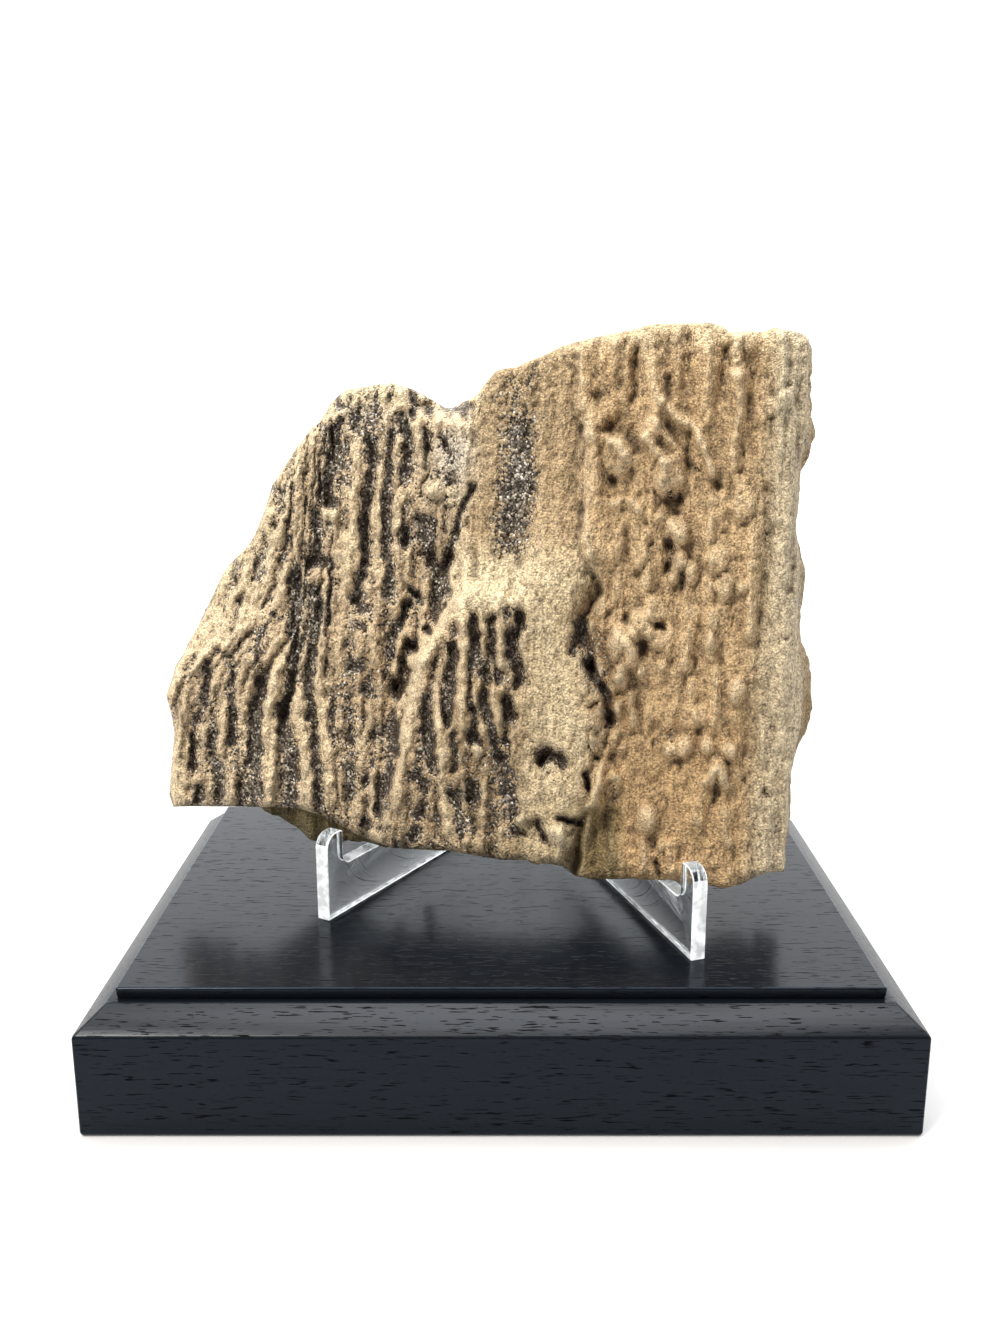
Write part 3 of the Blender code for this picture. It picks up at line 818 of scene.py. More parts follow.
@dataclass
class FaceRelief:
    """Depth and druse of the slab's face behind its reference plane."""

    crest_line: Line = (
        (18, -112), (45, -114), (56, -118), (63, -113), (72, -101), (80, -90), (88, -83),
        (119, -78), (140, -68), (157, -54))
    slant_line: Line = (
        (18, 0), (50, 2), (66, 8), (80, 20), (95, 31), (119, 38), (140, 47), (158, 58))
    lobe_left: Line = (
        (8, -44), (30, -38), (58, -34), (71, -31.5), (88, -20), (107, -17))
    lobe_right: Line = (
        (8, 22), (17, 25), (27, 31), (41, 30), (52, 34), (63, 33), (71, 27), (88, 23),
        (107, 26))
    ledge_line: Line = (
        (0, 24), (17, 26), (41, 31), (52, 35), (63, 34), (71, 28), (88, 25), (96, 30),
        (104, 25.5), (111, 22.5), (123, 22.5), (130, 21), (146, 22), (157, 19.5),
        (180, 19.5))
    left_line: Line = (
        (0, -30), (60, -30), (90, -20), (150, -14))
    strip_depth: float = 15.0
    left_extra: float = 4.0
    crest_fall: float = 0.8
    saddle_at: float = -25.0
    saddle_depth: float = 10.0
    lobe_proud: float = 13.0
    shelf_top: float = 107.0
    shelf_front: float = 90.0
    shelf_rise: float = 24.0
    right_proud: float = 7.0
    druse_depth: float = 1.4
    hollow_relief: float = 0.8
    ridge_relief: float = 0.5
    drapery_relief: float = 1.35
    rubble_at: Point = (31.0, 64.0)
    rubble_reach: Point = (6.5, 30.0)
    rubble_height: float = 5.0
    rubble_sink: float = 1.6
    all_over: tuple[Layer, ...] = ((0.4, 1.7, 13.0, 71), (0.6, 3.1, 24.0, 3),
                                   (0.9, 6.5, 38.0, 5))
    more_on_left: tuple[Layer, ...] = ((0.7, 1.7, 13.0, 71), (0.9, 3.1, 24.0, 3),
                                       (0.3, 6.5, 38.0, 5))
    flutes: tuple[Layer, ...] = ((0.4, 2.3, 55.0, 72), (0.9, 3.4, 44.0, 74),
                                 (1.2, 6.0, 70.0, 75))
    margin_flutes: tuple[Layer, ...] = ((0.8, 2.3, 55.0, 72), (2.0, 4.2, 90.0, 73))
    swells: tuple[Layer, ...] = ((1.2, 13.0, 26.0, 4),)
    streaks: tuple[Layer, ...] = ((0.16, 2.4, 20.0, 21), (0.14, 4.2, 34.0, 22),
                                  (0.14, 1.8, 5.0, 23))
    hollows: tuple[Stroke, ...] = (
        (1.3, 1.0, 0.8, (-93, 101), (-95, 94), (-98, 86)),
        (1.1, 0.8, 0.7, (-91.5, 91), (-92.5, 84)),
        (1.2, 1.0, 0.7, (-84, 112), (-83.5, 106), (-85, 97)),
        (1.1, 0.8, 0.6, (-86.5, 105), (-86.5, 95)), (1.6, 1.2, 0.9, (-74.5, 110)),
        (1.1, 0.8, 0.6, (-73, 104), (-73, 100)),
        (2.6, 2.0, 0.9, (-79.5, 126), (-79.5, 122)),
        (1.4, 0.8, 0.5, (-81, 117), (-80, 114)),
        (2.2, 1.2, 0.6, (-84, 79), (-85, 73), (-85, 65)),
        (1.2, 0.8, 0.6, (-80.5, 85), (-79, 84)), (1.2, 0.8, 0.5, (-96, 79), (-93, 78)),
        (1.3, 0.8, 0.5, (-99, 72), (-94, 70)),
        (2.5, 4.0, 1.3, (-71.5, 99), (-71, 92), (-72, 84), (-71.5, 78), (-72.5, 70),
         (-73, 63), (-76, 52)),
        (2.0, 2.0, 0.8, (-66, 118), (-65, 112), (-65.5, 108)),
        (3.2, 7.0, 1.7, (-66, 103.5), (-64.5, 103.5)),
        (1.8, 3.0, 1.3, (-64.5, 93), (-64, 88), (-64.5, 84)),
        (4.2, 1.0, 0.6, (-66, 92), (-66, 84)),
        (1.8, 2.5, 0.9, (-66, 81), (-66, 74), (-67, 66), (-67, 58), (-66, 51)),
        (0.9, 0.8, 0.6, (-61.5, 118), (-60, 114)),
        (0.9, 1.0, 0.6, (-60.5, 92), (-60, 82)),
        (2.2, 2.5, 1.1, (-103, 67), (-103, 60), (-103, 53), (-105, 48)),
        (2.0, 2.0, 1.0, (-107, 42), (-107, 38), (-107.5, 33)),
        (2.2, 2.5, 1.3, (-106, 24), (-106, 18)),
        (1.8, 1.8, 0.9, (-93.5, 66), (-94, 58), (-92.5, 50), (-93.5, 45), (-94, 41)),
        (2.4, 3.5, 1.3, (-84, 62), (-83.5, 58), (-85, 53), (-84.5, 46), (-84, 40)),
        (3.0, 1.2, 0.6, (-86, 38), (-85, 24)),
        (1.5, 1.0, 0.5, (-98.5, 33), (-98, 28), (-99, 22)),
        (7.0, 0.6, 0.5, (-100, 40), (-97, 24)), (5.0, 0.6, 0.45, (-88, 42), (-88, 22)),
        (2.4, 2.0, 0.9, (-75.5, 54), (-74, 48), (-73.5, 36), (-73.5, 22)),
        (1.7, 1.8, 0.9, (-64.5, 48), (-64, 36), (-63, 22)),
        (1.3, 1.2, 0.8, (-59, 60), (-58.5, 42)),
        (2.2, 2.0, 1.0, (-59, 154)), (1.5, 1.4, 0.9, (-58, 149)),
        (2.6, 4.0, 1.2, (-60, 146), (-60, 138), (-61, 130), (-61.5, 123)),
        (3.2, 1.5, 0.7, (-62, 127), (-61, 123)),
        (2.6, 1.5, 0.8, (-56, 141), (-54.5, 133), (-55, 129)),
        (1.7, 1.8, 0.9, (-52.5, 152), (-54, 147)),
        (2.0, 3.2, 1.3, (-47, 142), (-46.5, 136)), (1.6, 2.0, 0.8, (-48, 131), (-48, 126)),
        (1.7, 3.5, 1.2, (-48, 124), (-49, 114), (-48.5, 103)),
        (2.1, 3.0, 0.9, (-50, 99), (-51, 92), (-49, 88)),
        (2.6, 2.0, 0.8, (-41, 144), (-42, 136)),
        (1.8, 3.0, 1.1, (-41, 134), (-41.5, 120), (-41.5, 106)),
        (2.0, 1.8, 0.9, (-37, 152), (-37.5, 147)),
        (2.1, 3.2, 1.1, (-35, 148), (-35, 140), (-36, 131)),
        (0.8, 0.8, 0.7, (-34, 152), (-33, 150)), (6.0, 0.4, 0.35, (-52, 152), (-40, 150)),
        (2.0, 3.5, 1.3, (-35, 114), (-35, 110)), (0.8, 0.8, 0.7, (-40, 111), (-36, 115)),
        (2.8, 6.0, 1.7, (-28.5, 118), (-27.5, 112), (-27, 107)),
        (2.6, 7.0, 1.4, (-25.5, 104), (-23, 101.5), (-21, 105)),
        (1.2, 3.0, 1.2, (-13.5, 128), (-16, 124), (-17.5, 118), (-18.5, 112), (-20, 106)),
        (0.9, 1.0, 0.9, (-15, 117)), (1.3, 1.2, 0.8, (-24, 144), (-22, 141)),
        (1.4, 1.0, 0.7, (-29.5, 146), (-28, 141)), (1.4, 1.2, 0.7, (-24.5, 133)),
        (2.2, 1.6, 0.8, (-40, 101), (-40, 93)), (2.1, 4.0, 1.4, (-31, 93), (-30, 92)),
        (1.6, 5.0, 1.7, (-34.5, 89), (-36, 85), (-38.5, 80)),
        (1.5, 5.0, 1.7, (-34, 76.5), (-31, 75.5)), (1.4, 2.4, 1.0, (-38.5, 78), (-39, 73)),
        (2.6, 4.0, 0.7, (-35, 72), (-34, 66), (-36, 63)),
        (2.5, 4.5, 1.5, (-50.5, 69.5)), (1.6, 2.0, 1.1, (-50, 82)),
        (1.7, 3.0, 1.3, (-48.5, 63), (-48, 60.5)), (1.1, 1.2, 0.8, (-41, 66)),
        (1.6, 4.0, 1.5, (-37, 63), (-36.5, 60)), (1.3, 2.0, 1.2, (-27, 81), (-26, 80)),
        (1.0, 1.2, 0.9, (-28, 86)), (2.5, 1.4, 0.7, (-28, 100), (-25, 97), (-24, 91)),
        (3.6, 0.5, 0.45, (-22, 100), (-21, 91)),
        (1.8, 4.0, 1.4, (-18, 76), (-18.5, 70), (-19, 64), (-20, 52)),
        (1.7, 2.4, 1.0, (-12, 84), (-11, 80)),
        (1.9, 3.2, 1.0, (-10.5, 79), (-9.5, 74), (-8.5, 70), (-7.5, 66)),
        (1.5, 4.0, 1.7, (-6, 86)), (1.3, 1.6, 0.8, (-6.5, 83), (-5.5, 76), (-4.5, 72)),
        (2.1, 6.0, 1.6, (3.5, 87), (3, 84), (1.5, 81), (1.5, 75), (4, 70), (4.5, 66)),
        (1.6, 2.4, 0.9, (-1, 88), (0, 90)), (1.6, 4.0, 1.4, (-3, 69.5), (-3, 67)),
        (1.7, 4.0, 1.5, (-0.5, 60), (0.5, 57), (1.5, 54)),
        (1.3, 3.5, 1.3, (-8, 62), (-7, 56), (-5.5, 52), (-4, 48), (-3.5, 45.5)),
        (1.6, 4.0, 1.5, (-10.5, 57), (-10, 52), (-11.5, 49), (-10, 46.5)),
        (1.8, 3.0, 1.1, (-27, 60), (-27, 55), (-26, 48), (-25, 42), (-24, 38)),
        (1.4, 2.2, 1.0, (-17, 47), (-16, 43), (-16, 40), (-17, 36)),
        (2.2, 4.5, 1.4, (-17, 29), (-15.5, 27)), (1.8, 4.0, 1.3, (-11, 32), (-11, 28)),
        (2.6, 1.6, 0.8, (-14, 23), (-13, 17)), (1.7, 3.4, 1.6, (-3, 42.5), (-1, 40.5)),
        (0.9, 1.2, 1.0, (0.5, 47)), (3.0, 1.8, 0.9, (1, 38), (2, 30), (4, 23)),
        (2.2, 3.0, 1.3, (-28, 22)), (1.5, 1.6, 1.0, (-29, 15), (-30, 13)),
        (2.2, 2.2, 1.0, (-29, 33), (-27, 31)), (2.2, 1.4, 0.8, (-42, 48), (-44, 45)),
        (1.6, 1.8, 1.0, (-36.5, 48), (-36.5, 42)), (1.9, 1.6, 0.8, (-52.5, 45)),
        (1.3, 2.0, 1.3, (-46.5, 31)), (1.8, 1.8, 0.9, (-41, 31), (-41, 22)),
        (1.8, 1.0, 0.6, (-51.5, 34), (-52, 25)), (1.5, 1.6, 1.1, (-47, 17)),
        (1.3, 1.4, 1.0, (-41, 15.5)), (1.6, 1.0, 0.6, (-37, 36), (-39, 30)),
        (2.3, 7.0, 1.7, (11.5, 41), (14, 43), (17, 42.5), (19, 41)),
        (1.2, 5.0, 1.7, (26.5, 37), (27, 35), (28, 33)),
        (0.6, 1.2, 0.8, (23, 52), (22.5, 48), (21, 45)),
        (0.7, 1.6, 1.0, (27, 51), (26.5, 47), (28, 44), (30.5, 41)),
        (1.1, 0.8, 0.9, (14.5, 65), (15, 58), (16.5, 53)),
        (0.9, 0.6, 0.8, (8, 50), (10.5, 51)), (1.0, 0.6, 0.5, (12, 83), (13, 79)),
        (1.6, 4.0, 1.5, (22.5, 85), (23, 83), (21, 79), (20.5, 76)),
        (1.9, 5.5, 1.7, (26.5, 72), (28.5, 69.5)),
        (1.9, 3.6, 1.0, (31.5, 66), (33, 62)), (1.8, 3.4, 0.9, (32.5, 57), (34.5, 55.5)),
        # Druse along the cleft: partly painted shade
        (4.6, 2.2, 1.25, (24, 86), (27, 76), (30, 67)),
        (2.6, 1.2, 0.6, (9, 46), (14, 38), (20, 36)), (1.8, 1.4, 0.6, (17, 58), (18, 50)),
        (1.0, 1.6, 1.4, (32.5, 53)), (1.5, 2.0, 1.0, (36, 48.5)),
        # The shaded hollow at 30 across, the undercuts below the lobe and the one by the
        # hooks: their dark druse is painted shade
        (1.4, 1.0, 0.7, (25, 68), (25.5, 64)), (2.8, 3.0, 0.35, (30, 82), (30, 77)),
        (1.3, 4.0, 1.7, (19, 22.7), (22, 22), (25, 21.5)),
        (2.0, 4.5, 1.3, (11, 20), (12, 17), (14, 15.5)),
        (1.4, 2.0, 1.0, (7, 16.3), (4, 17)), (1.4, 3.0, 0.9, (34.8, 34), (36, 31)),
        (4.5, 0.0, 0.75, (-1, 158), (1, 150)), (5.8, 0.5, 1.5, (1.5, 144), (1.5, 131)),
        (5.8, 0.4, 1.3, (1.5, 128), (0.5, 120)), (5.4, 0.4, 1.2, (-0.5, 117), (0, 109.5)),
        (1.6, 0.3, 0.8, (-1.5, 163)), (2.0, 0.3, 0.8, (4.5, 162.5), (6, 166.5)),
        (1.5, 0.3, 0.5, (-7, 157)), (0.9, 0.6, 0.6, (10, 154), (8, 150)),
        (1.0, 0.6, 0.7, (13, 138.5)),
        (0.7, 2.0, 0.9, (22, 152), (21, 147), (23, 142), (22, 138), (22.2, 130),
         (22.7, 122), (23, 112), (25, 106), (27, 101)),
        (1.2, 1.6, 0.9, (22, 139)), (1.5, 1.0, 0.6, (23.5, 122)),
        (2.2, 4.5, 0.7, (33, 161), (29, 158.5), (26, 157.5)),
        (1.2, 4.0, 1.1, (38, 172), (37.5, 165), (38, 159), (37, 156)),
        (1.0, 1.4, 1.0, (42, 172), (44.5, 172)), (0.8, 1.2, 0.9, (47, 172)),
        (1.0, 3.0, 1.0, (48, 164), (48, 155.5)), (1.4, 4.5, 1.2, (30.5, 149), (30, 146)),
        (2.2, 3.0, 0.4, (34, 149.5), (37, 144.5)),
        (1.0, 3.0, 1.2, (48.5, 148.5), (51, 144)),
        (1.1, 3.0, 1.1, (54, 141), (55, 137), (57.5, 135)),
        (2.0, 5.5, 1.3, (50, 127), (52, 126)), (0.7, 1.4, 0.8, (53, 130), (52.5, 127)),
        (1.0, 2.0, 0.8, (59, 134), (59, 130)), (0.8, 1.2, 0.8, (55.5, 127)),
        (1.3, 3.0, 1.1, (31, 131.5), (31.5, 129)), (0.9, 2.0, 0.8, (27.5, 140), (28.5, 136)),
        (1.1, 3.0, 0.9, (65, 172), (64.5, 166), (65, 160), (66, 157)),
        (1.6, 1.2, 0.5, (63, 150), (62, 140)), (1.8, 2.0, 1.0, (73.5, 168), (73.5, 163)),
        (1.0, 3.0, 1.1, (73, 157), (73, 150)), (1.4, 2.0, 0.8, (73.5, 146)),
        (0.8, 1.4, 0.4, (75, 143), (77, 138), (79, 130), (80, 122)),
        (1.2, 1.8, 0.8, (80, 120), (80, 112)), (0.8, 1.4, 0.9, (84.5, 167), (85, 165)),
        (0.8, 1.2, 0.8, (85, 161)), (1.1, 2.6, 0.8, (42, 122), (42.5, 118)),
        (1.1, 3.0, 0.9, (36, 114), (36.7, 108)),
        (1.0, 3.0, 1.0, (44.5, 112), (44, 106), (42, 103), (40, 101.5)),
        (1.5, 5.5, 1.5, (50, 112), (51.5, 110), (51, 106), (50, 103)),
        (0.9, 4.0, 1.3, (55, 103), (55, 98)), (1.2, 2.0, 0.9, (41.5, 94), (42, 91)),
        (1.3, 3.0, 1.0, (37, 88)), (0.9, 2.0, 0.9, (36.5, 83), (38.5, 84)),
        (0.9, 3.0, 1.1, (46, 87), (48, 85.5), (49.5, 84.5)),
        (1.8, 4.0, 0.9, (41.5, 80.5), (44, 78.5)), (1.3, 1.6, 0.5, (43.5, 75)),
        (0.8, 2.4, 1.0, (35.5, 73.5), (37.5, 72)), (1.0, 1.4, 0.8, (37.5, 65)),
        (0.9, 2.4, 0.9, (35, 106), (32, 100), (31.7, 94.5)),
        (1.2, 1.2, 0.6, (27.5, 101.5)), (0.8, 1.6, 0.5, (70, 96), (70, 90)),
        (0.9, 1.6, 0.6, (79.5, 91), (79, 80)), (0.7, 1.8, 0.7, (60, 75), (57, 69), (56, 62)),
        (1.0, 0.8, 0.8, (88, 90), (88.5, 83)), (0.8, 0.8, 0.8, (88.5, 65)),
        (1.1, 2.4, 0.8, (84.5, 58), (85, 52), (84, 47), (83.5, 42)),
        (1.3, 4.0, 1.4, (82.8, 35.3), (84, 34)), (1.4, 1.4, 0.7, (53, 53), (52.5, 49)),
        (1.5, 1.6, 0.6, (48, 48.5)), (1.1, 4.0, 1.2, (56.3, 43.5), (57, 41)),
        (0.8, 1.6, 0.8, (53, 42)), (1.0, 1.8, 0.9, (42.5, 46)),
        (1.2, 3.5, 1.0, (48, 19), (49, 15)), (0.9, 4.5, 1.2, (50, 10), (51, 6)),
        (0.9, 3.4, 1.1, (67.5, 38), (68, 35), (67.5, 31)), (0.9, 1.8, 0.8, (71.5, 43)),
        (3.0, 0.8, 0.35, (56, 24), (57, 19)), (2.8, 1.6, 0.45, (57, 13)),
        (0.8, 1.8, 0.7, (43, 24), (42, 20)), (1.0, 1.0, 0.4, (33.5, 25), (33.5, 12)),
        (5.0, 6.0, 0.0, (28, 8), (31, 26)))
    ridges: tuple[Stroke, ...] = (
        (1.6, 1.1, 0.8, (-103, 74), (-95, 77), (-88, 81), (-81, 86), (-78, 92),
         (-76.5, 100)),
        (4.0, 0.6, 0.8, (-106, 79), (-98, 96)), (3.0, 0.6, 0.7, (-113, 60), (-110, 52)),
        (2.6, 0.8, 0.9, (-113, 44), (-113, 22)),
        (1.2, 1.0, 0.7, (-90, 101), (-89, 92)), (1.2, 1.0, 0.6, (-80, 112), (-81, 102)),
        (1.3, 1.2, 0.7, (-77, 122), (-79, 110)), (1.3, 1.2, 0.7, (-68, 145), (-73, 132)),
        (1.2, 1.0, 0.6, (-65, 140), (-69, 128), (-73, 114)),
        (1.4, 1.6, 0.9, (-69.5, 118), (-72, 108), (-75.5, 98)),
        (2.4, 2.4, 1.3, (-78, 75), (-79, 62), (-79.5, 50), (-79, 38), (-78.5, 20)),
        (2.6, 2.2, 1.3, (-70, 58), (-69, 48), (-68, 38), (-67.5, 21)),
        (2.2, 2.2, 1.2, (-62, 62), (-61, 42), (-59.5, 23)),
        (1.6, 1.4, 0.9, (-91, 63), (-91, 54)), (2.0, 0.8, 0.7, (-90.5, 41)),
        (2.6, 1.6, 1.1, (-60.5, 119), (-57.5, 112), (-57, 104)),
        (1.8, 2.6, 1.3, (-52.5, 142), (-53, 130), (-53, 118), (-54, 104), (-56, 92)),
        (1.5, 2.4, 1.1, (-45, 141), (-44.5, 128), (-44.5, 108), (-44, 96)),
        (1.3, 1.8, 0.9, (-38, 124), (-37, 116)), (1.3, 2.2, 0.9, (-34, 110), (-34, 98)),
        (1.4, 2.2, 1.0, (-42, 149), (-40, 154), (-36.5, 155), (-33.5, 150), (-33, 139)),
        (1.4, 1.6, 0.8, (-62, 78), (-62, 64)), (1.4, 1.6, 0.8, (-56.5, 84), (-57, 64)),
        (1.6, 1.8, 0.8, (-46, 82), (-45, 70)), (1.3, 1.4, 0.7, (-69, 88), (-69, 64)),
        (2.2, 3.0, 1.6, (-19, 92), (-21, 86), (-23, 80), (-28, 73), (-32, 66), (-34, 59)),
        (1.5, 1.8, 0.7, (-32, 58), (-32, 46), (-34, 38)),
        (1.4, 2.4, 1.0, (-23, 68), (-23.5, 58), (-22, 50), (-21.5, 42)),
        (1.5, 2.8, 1.4, (-20.5, 41), (-21, 32), (-20, 24), (-18, 14)),
        (1.4, 2.6, 0.8, (-15, 84), (-14.5, 70), (-15, 60), (-14, 50)),
        (1.1, 2.2, 0.7, (-11.5, 66), (-9.5, 58), (-8, 48)),
        (1.1, 2.2, 0.8, (-3, 82), (-1.5, 76), (-1.5, 71)),
        (1.1, 2.0, 0.7, (-5.5, 64), (-4, 56), (-1, 50)),
        (1.3, 2.2, 0.8, (-7.5, 40), (-7, 30), (-8, 22)),
        (1.6, 2.2, 0.7, (-45, 56), (-47, 50), (-48, 38)),
        (1.4, 2.4, 0.9, (-44, 33), (-44, 24), (-43, 14)),
        (1.8, 1.8, 0.8, (-48, 26), (-50, 20)), (3.2, 1.4, 0.5, (-35, 28), (-34, 14)),
        (2.0, 1.4, 0.6, (-2, 16), (0, 11)), (1.6, 1.6, 0.7, (-10, 13), (-7, 12)),
        (6.0, 0.6, 1.3, (12, 86), (17, 70), (19, 56)), (5.0, 0.4, 1.0, (10, 55), (22, 50)),
        (1.6, 3.0, 1.0, (6, 29), (6, 19)), (6.0, 0.0, 1.2, (-8, 100), (18, 99)),
        (4.0, 0.6, 0.9, (24, 47), (24, 40)), (4.5, 0.8, 0.9, (14, 32), (25, 29)),
        (1.3, 2.6, 0.8, (29.5, 40), (30.5, 34), (29, 28), (25, 24.5)),
        (1.6, 1.8, 0.5, (25.5, 64), (26.5, 54)), (1.4, 2.4, 0.8, (6.5, 45), (7, 36)),
        (2.4, 2.6, 0.8, (40, 175), (41.5, 166), (44, 158), (45, 150)),
        (1.6, 3.2, 0.8, (47, 156), (52, 150), (57, 147), (60, 140), (63, 134)),
        (1.8, 2.4, 0.7, (46, 147), (50, 143), (53, 138)),
        (1.8, 3.4, 0.8, (41, 144.5), (44.5, 141), (48, 137)),
        (1.8, 2.6, 0.8, (29.5, 144.5), (33, 142), (37.5, 137.5)),
        (2.2, 2.8, 0.8, (47, 120), (51, 117.5), (54, 114)),
        (1.8, 2.6, 0.8, (32, 124), (38, 125), (41, 121)),
        (3.4, 1.8, 0.6, (36.5, 120), (32, 108)), (2.8, 2.2, 0.6, (26.5, 150), (26, 128)),
        (2.4, 1.8, 0.6, (28, 124), (29, 108)), (2.4, 1.4, 0.6, (40, 116), (40, 106)),
        (2.4, 3.0, 0.6, (69.5, 163), (70.5, 154), (69, 145), (68, 136)),
        (1.8, 1.6, 0.5, (60.5, 172), (60, 150)), (2.0, 1.6, 0.5, (77, 174), (76.5, 150)),
        (1.8, 2.0, 0.6, (82, 176), (82.5, 120)), (1.6, 1.8, 0.6, (87, 174), (86.5, 100)),
        (2.0, 1.8, 0.5, (83, 112), (83, 64)), (1.4, 1.4, 0.5, (87, 96), (87, 50)),
        (2.0, 1.8, 0.5, (63.5, 126), (62, 108)), (1.8, 1.6, 0.5, (75.5, 118), (76, 84)),
        (2.6, 2.4, 0.6, (57, 90), (57, 74)), (1.6, 1.8, 0.5, (64.5, 90), (64, 76)),
        (2.4, 2.2, 0.6, (59.5, 68), (59, 56)), (2.4, 2.2, 0.6, (73, 69), (72.5, 58)),
        (2.0, 1.8, 0.5, (52, 84), (49, 72)), (1.8, 1.6, 0.4, (67, 72), (66, 56)),
        (2.2, 2.6, 0.6, (37, 82), (40, 77), (42, 71)), (2.0, 2.2, 0.6, (36, 71), (37, 66)),
        (1.6, 2.2, 0.6, (40.5, 64), (41, 54)), (1.6, 3.0, 0.7, (65, 37), (68, 41.5), (71, 36)),
        (1.8, 1.6, 0.5, (45, 16), (46, 8)), (1.8, 1.6, 0.5, (53, 16), (55, 8)),
        (2.2, 1.4, 0.5, (38, 16), (38, 9)), (1.6, 1.6, 0.5, (81, 56), (81.5, 46)),
        (2.0, 1.4, 0.4, (71, 28), (71, 20)), (2.0, 1.4, 0.4, (63, 36), (62, 24)))
    lumps: tuple[Stroke, ...] = (
        (3.4, 2.8, 1.0, (-26, 127.5)), (2.4, 2.2, 1.0, (-20.5, 127)),
        (1.8, 1.8, 0.8, (-21, 123.5)), (1.4, 1.2, 1.0, (-37.5, 116)),
        (3.0, 2.0, 0.9, (-60.5, 118.5)), (1.4, 1.2, 1.0, (-18.5, 100.5)),
        (2.2, 2.4, 0.6, (-9, 43)), (3.4, 3.6, 1.0, (17.5, 17)), (2.7, 2.8, 0.6, (22.5, 14.5)),
        (2.2, 2.0, 0.4, (6, 21)), (5.2, 4.6, 0.4, (49.5, 132.5)),
        (5.0, 4.2, 0.3, (33, 138.5)), (3.4, 3.0, 0.3, (43, 147)),
        (4.0, 3.8, 0.5, (52.5, 115.5)), (3.2, 3.2, 0.3, (53, 107)),
        (2.2, 2.4, 0.2, (51.8, 101.5)), (3.0, 3.2, 0.3, (57, 103)),
        (3.6, 2.6, 0.3, (65.5, 107)), (1.3, 1.4, 0.9, (64, 98.7)),
        (3.2, 2.8, 0.3, (68, 99)), (1.9, 2.0, 0.5, (73, 98.5)), (3.4, 3.2, 0.3, (47, 91)),
        (4.4, 4.0, 0.4, (42.5, 86)), (2.8, 2.2, 0.3, (47.5, 81.5)),
        (5.4, 4.4, 0.5, (37, 79)), (2.8, 2.6, 0.3, (36.5, 70)), (2.6, 2.0, 0.3, (64, 81)),
        (3.4, 2.8, 0.3, (73, 66)), (2.8, 2.2, 0.3, (62, 58)), (2.3, 2.8, 0.4, (53, 46.5)),
        (3.2, 3.2, 0.4, (57, 48)), (2.5, 2.8, 0.4, (64.5, 49)), (2.5, 2.8, 0.4, (71.5, 47)),
        (3.6, 2.6, 0.4, (68, 40.5)), (4.2, 3.6, 0.5, (46.2, 24)), (1.7, 1.4, 0.5, (72.5, 18)),
        (3.0, 2.6, 0.3, (35, 35)), (4.2, 2.8, 0.3, (72.5, 125)), (2.2, 2.0, 0.3, (71, 131)),
        (2.1, 2.4, 0.4, (68.5, 175)), (2.4, 2.8, 0.4, (68.5, 170.5)),
        (2.6, 2.6, 0.3, (69, 165.5)), (3.4, 1.6, 0.3, (58, 174)), (3.0, 2.0, 0.3, (72, 175)),
        (2.4, 1.6, 0.4, (80, 154)), (2.6, 1.8, 0.3, (84, 157)), (2.8, 2.0, 0.3, (24, 146)))

    def macro(self, x: Array, z: Array) -> Array:
        """Depth of the slab's large steps: left slab, strip, lobe and right slab.

        Args:
            x: Places across.
            z: Places up the grain.

        Returns:
            The depth at each place.
        """
        depth = self.strip_depth + self.left_extra * smooth((-14.0 - x) / 8.0)
        crest = line_at(z, self.crest_line)
        depth = depth + self.crest_fall * np.maximum(0.0, crest - x)
        shelf_top = self.shelf_top + self.shelf_rise * smooth((x - 1.0) / 9.0)
        lobe = smooth((shelf_top - z) / (shelf_top - self.shelf_front))
        lobe = lobe * step_past(x, z, self.lobe_left, 7.0)
        lobe = lobe * (1 - step_past(x, z, self.lobe_right, 10.0))
        lobe = lobe * (0.75 + 0.25 * smooth((z - 5.0) / 45.0))
        depth = depth - self.lobe_proud * lobe
        depth = depth - self.right_proud * step_past(x, z, self.ledge_line, 3.0)
        saddle = smooth((13.0 - np.abs(x - self.saddle_at)) / 5.0)
        return depth + self.saddle_depth * saddle * smooth((z - 148.0) / 7.0)

    def flow(self, x: Array, z: Array) -> Array:
        """Places across the grain, which leans with the slab's slanted left side.

        Args:
            x: Places across.
            z: Places up the grain.

        Returns:
            A place that stays the same along each fibre.
        """
        slant = 0.9 * line_at(z, self.slant_line)
        return x - slant * smooth((-58.0 - x) / 22.0)

    def left_side(self, x: Array, z: Array) -> Array:
        """1 on the left slab and on the lobe's dark left half, 0 elsewhere.

        Args:
            x: Places across.
            z: Places up the grain.

        Returns:
            The share at each place.
        """
        left = 1 - step_past(x, z, self.left_line, 8.0)
        lobe = step_past(x, z, self.lobe_left, 6.0) * (1 - smooth((x - 2) / 6.0))
        return np.maximum(left, lobe * smooth((92.0 - z) / 8.0))

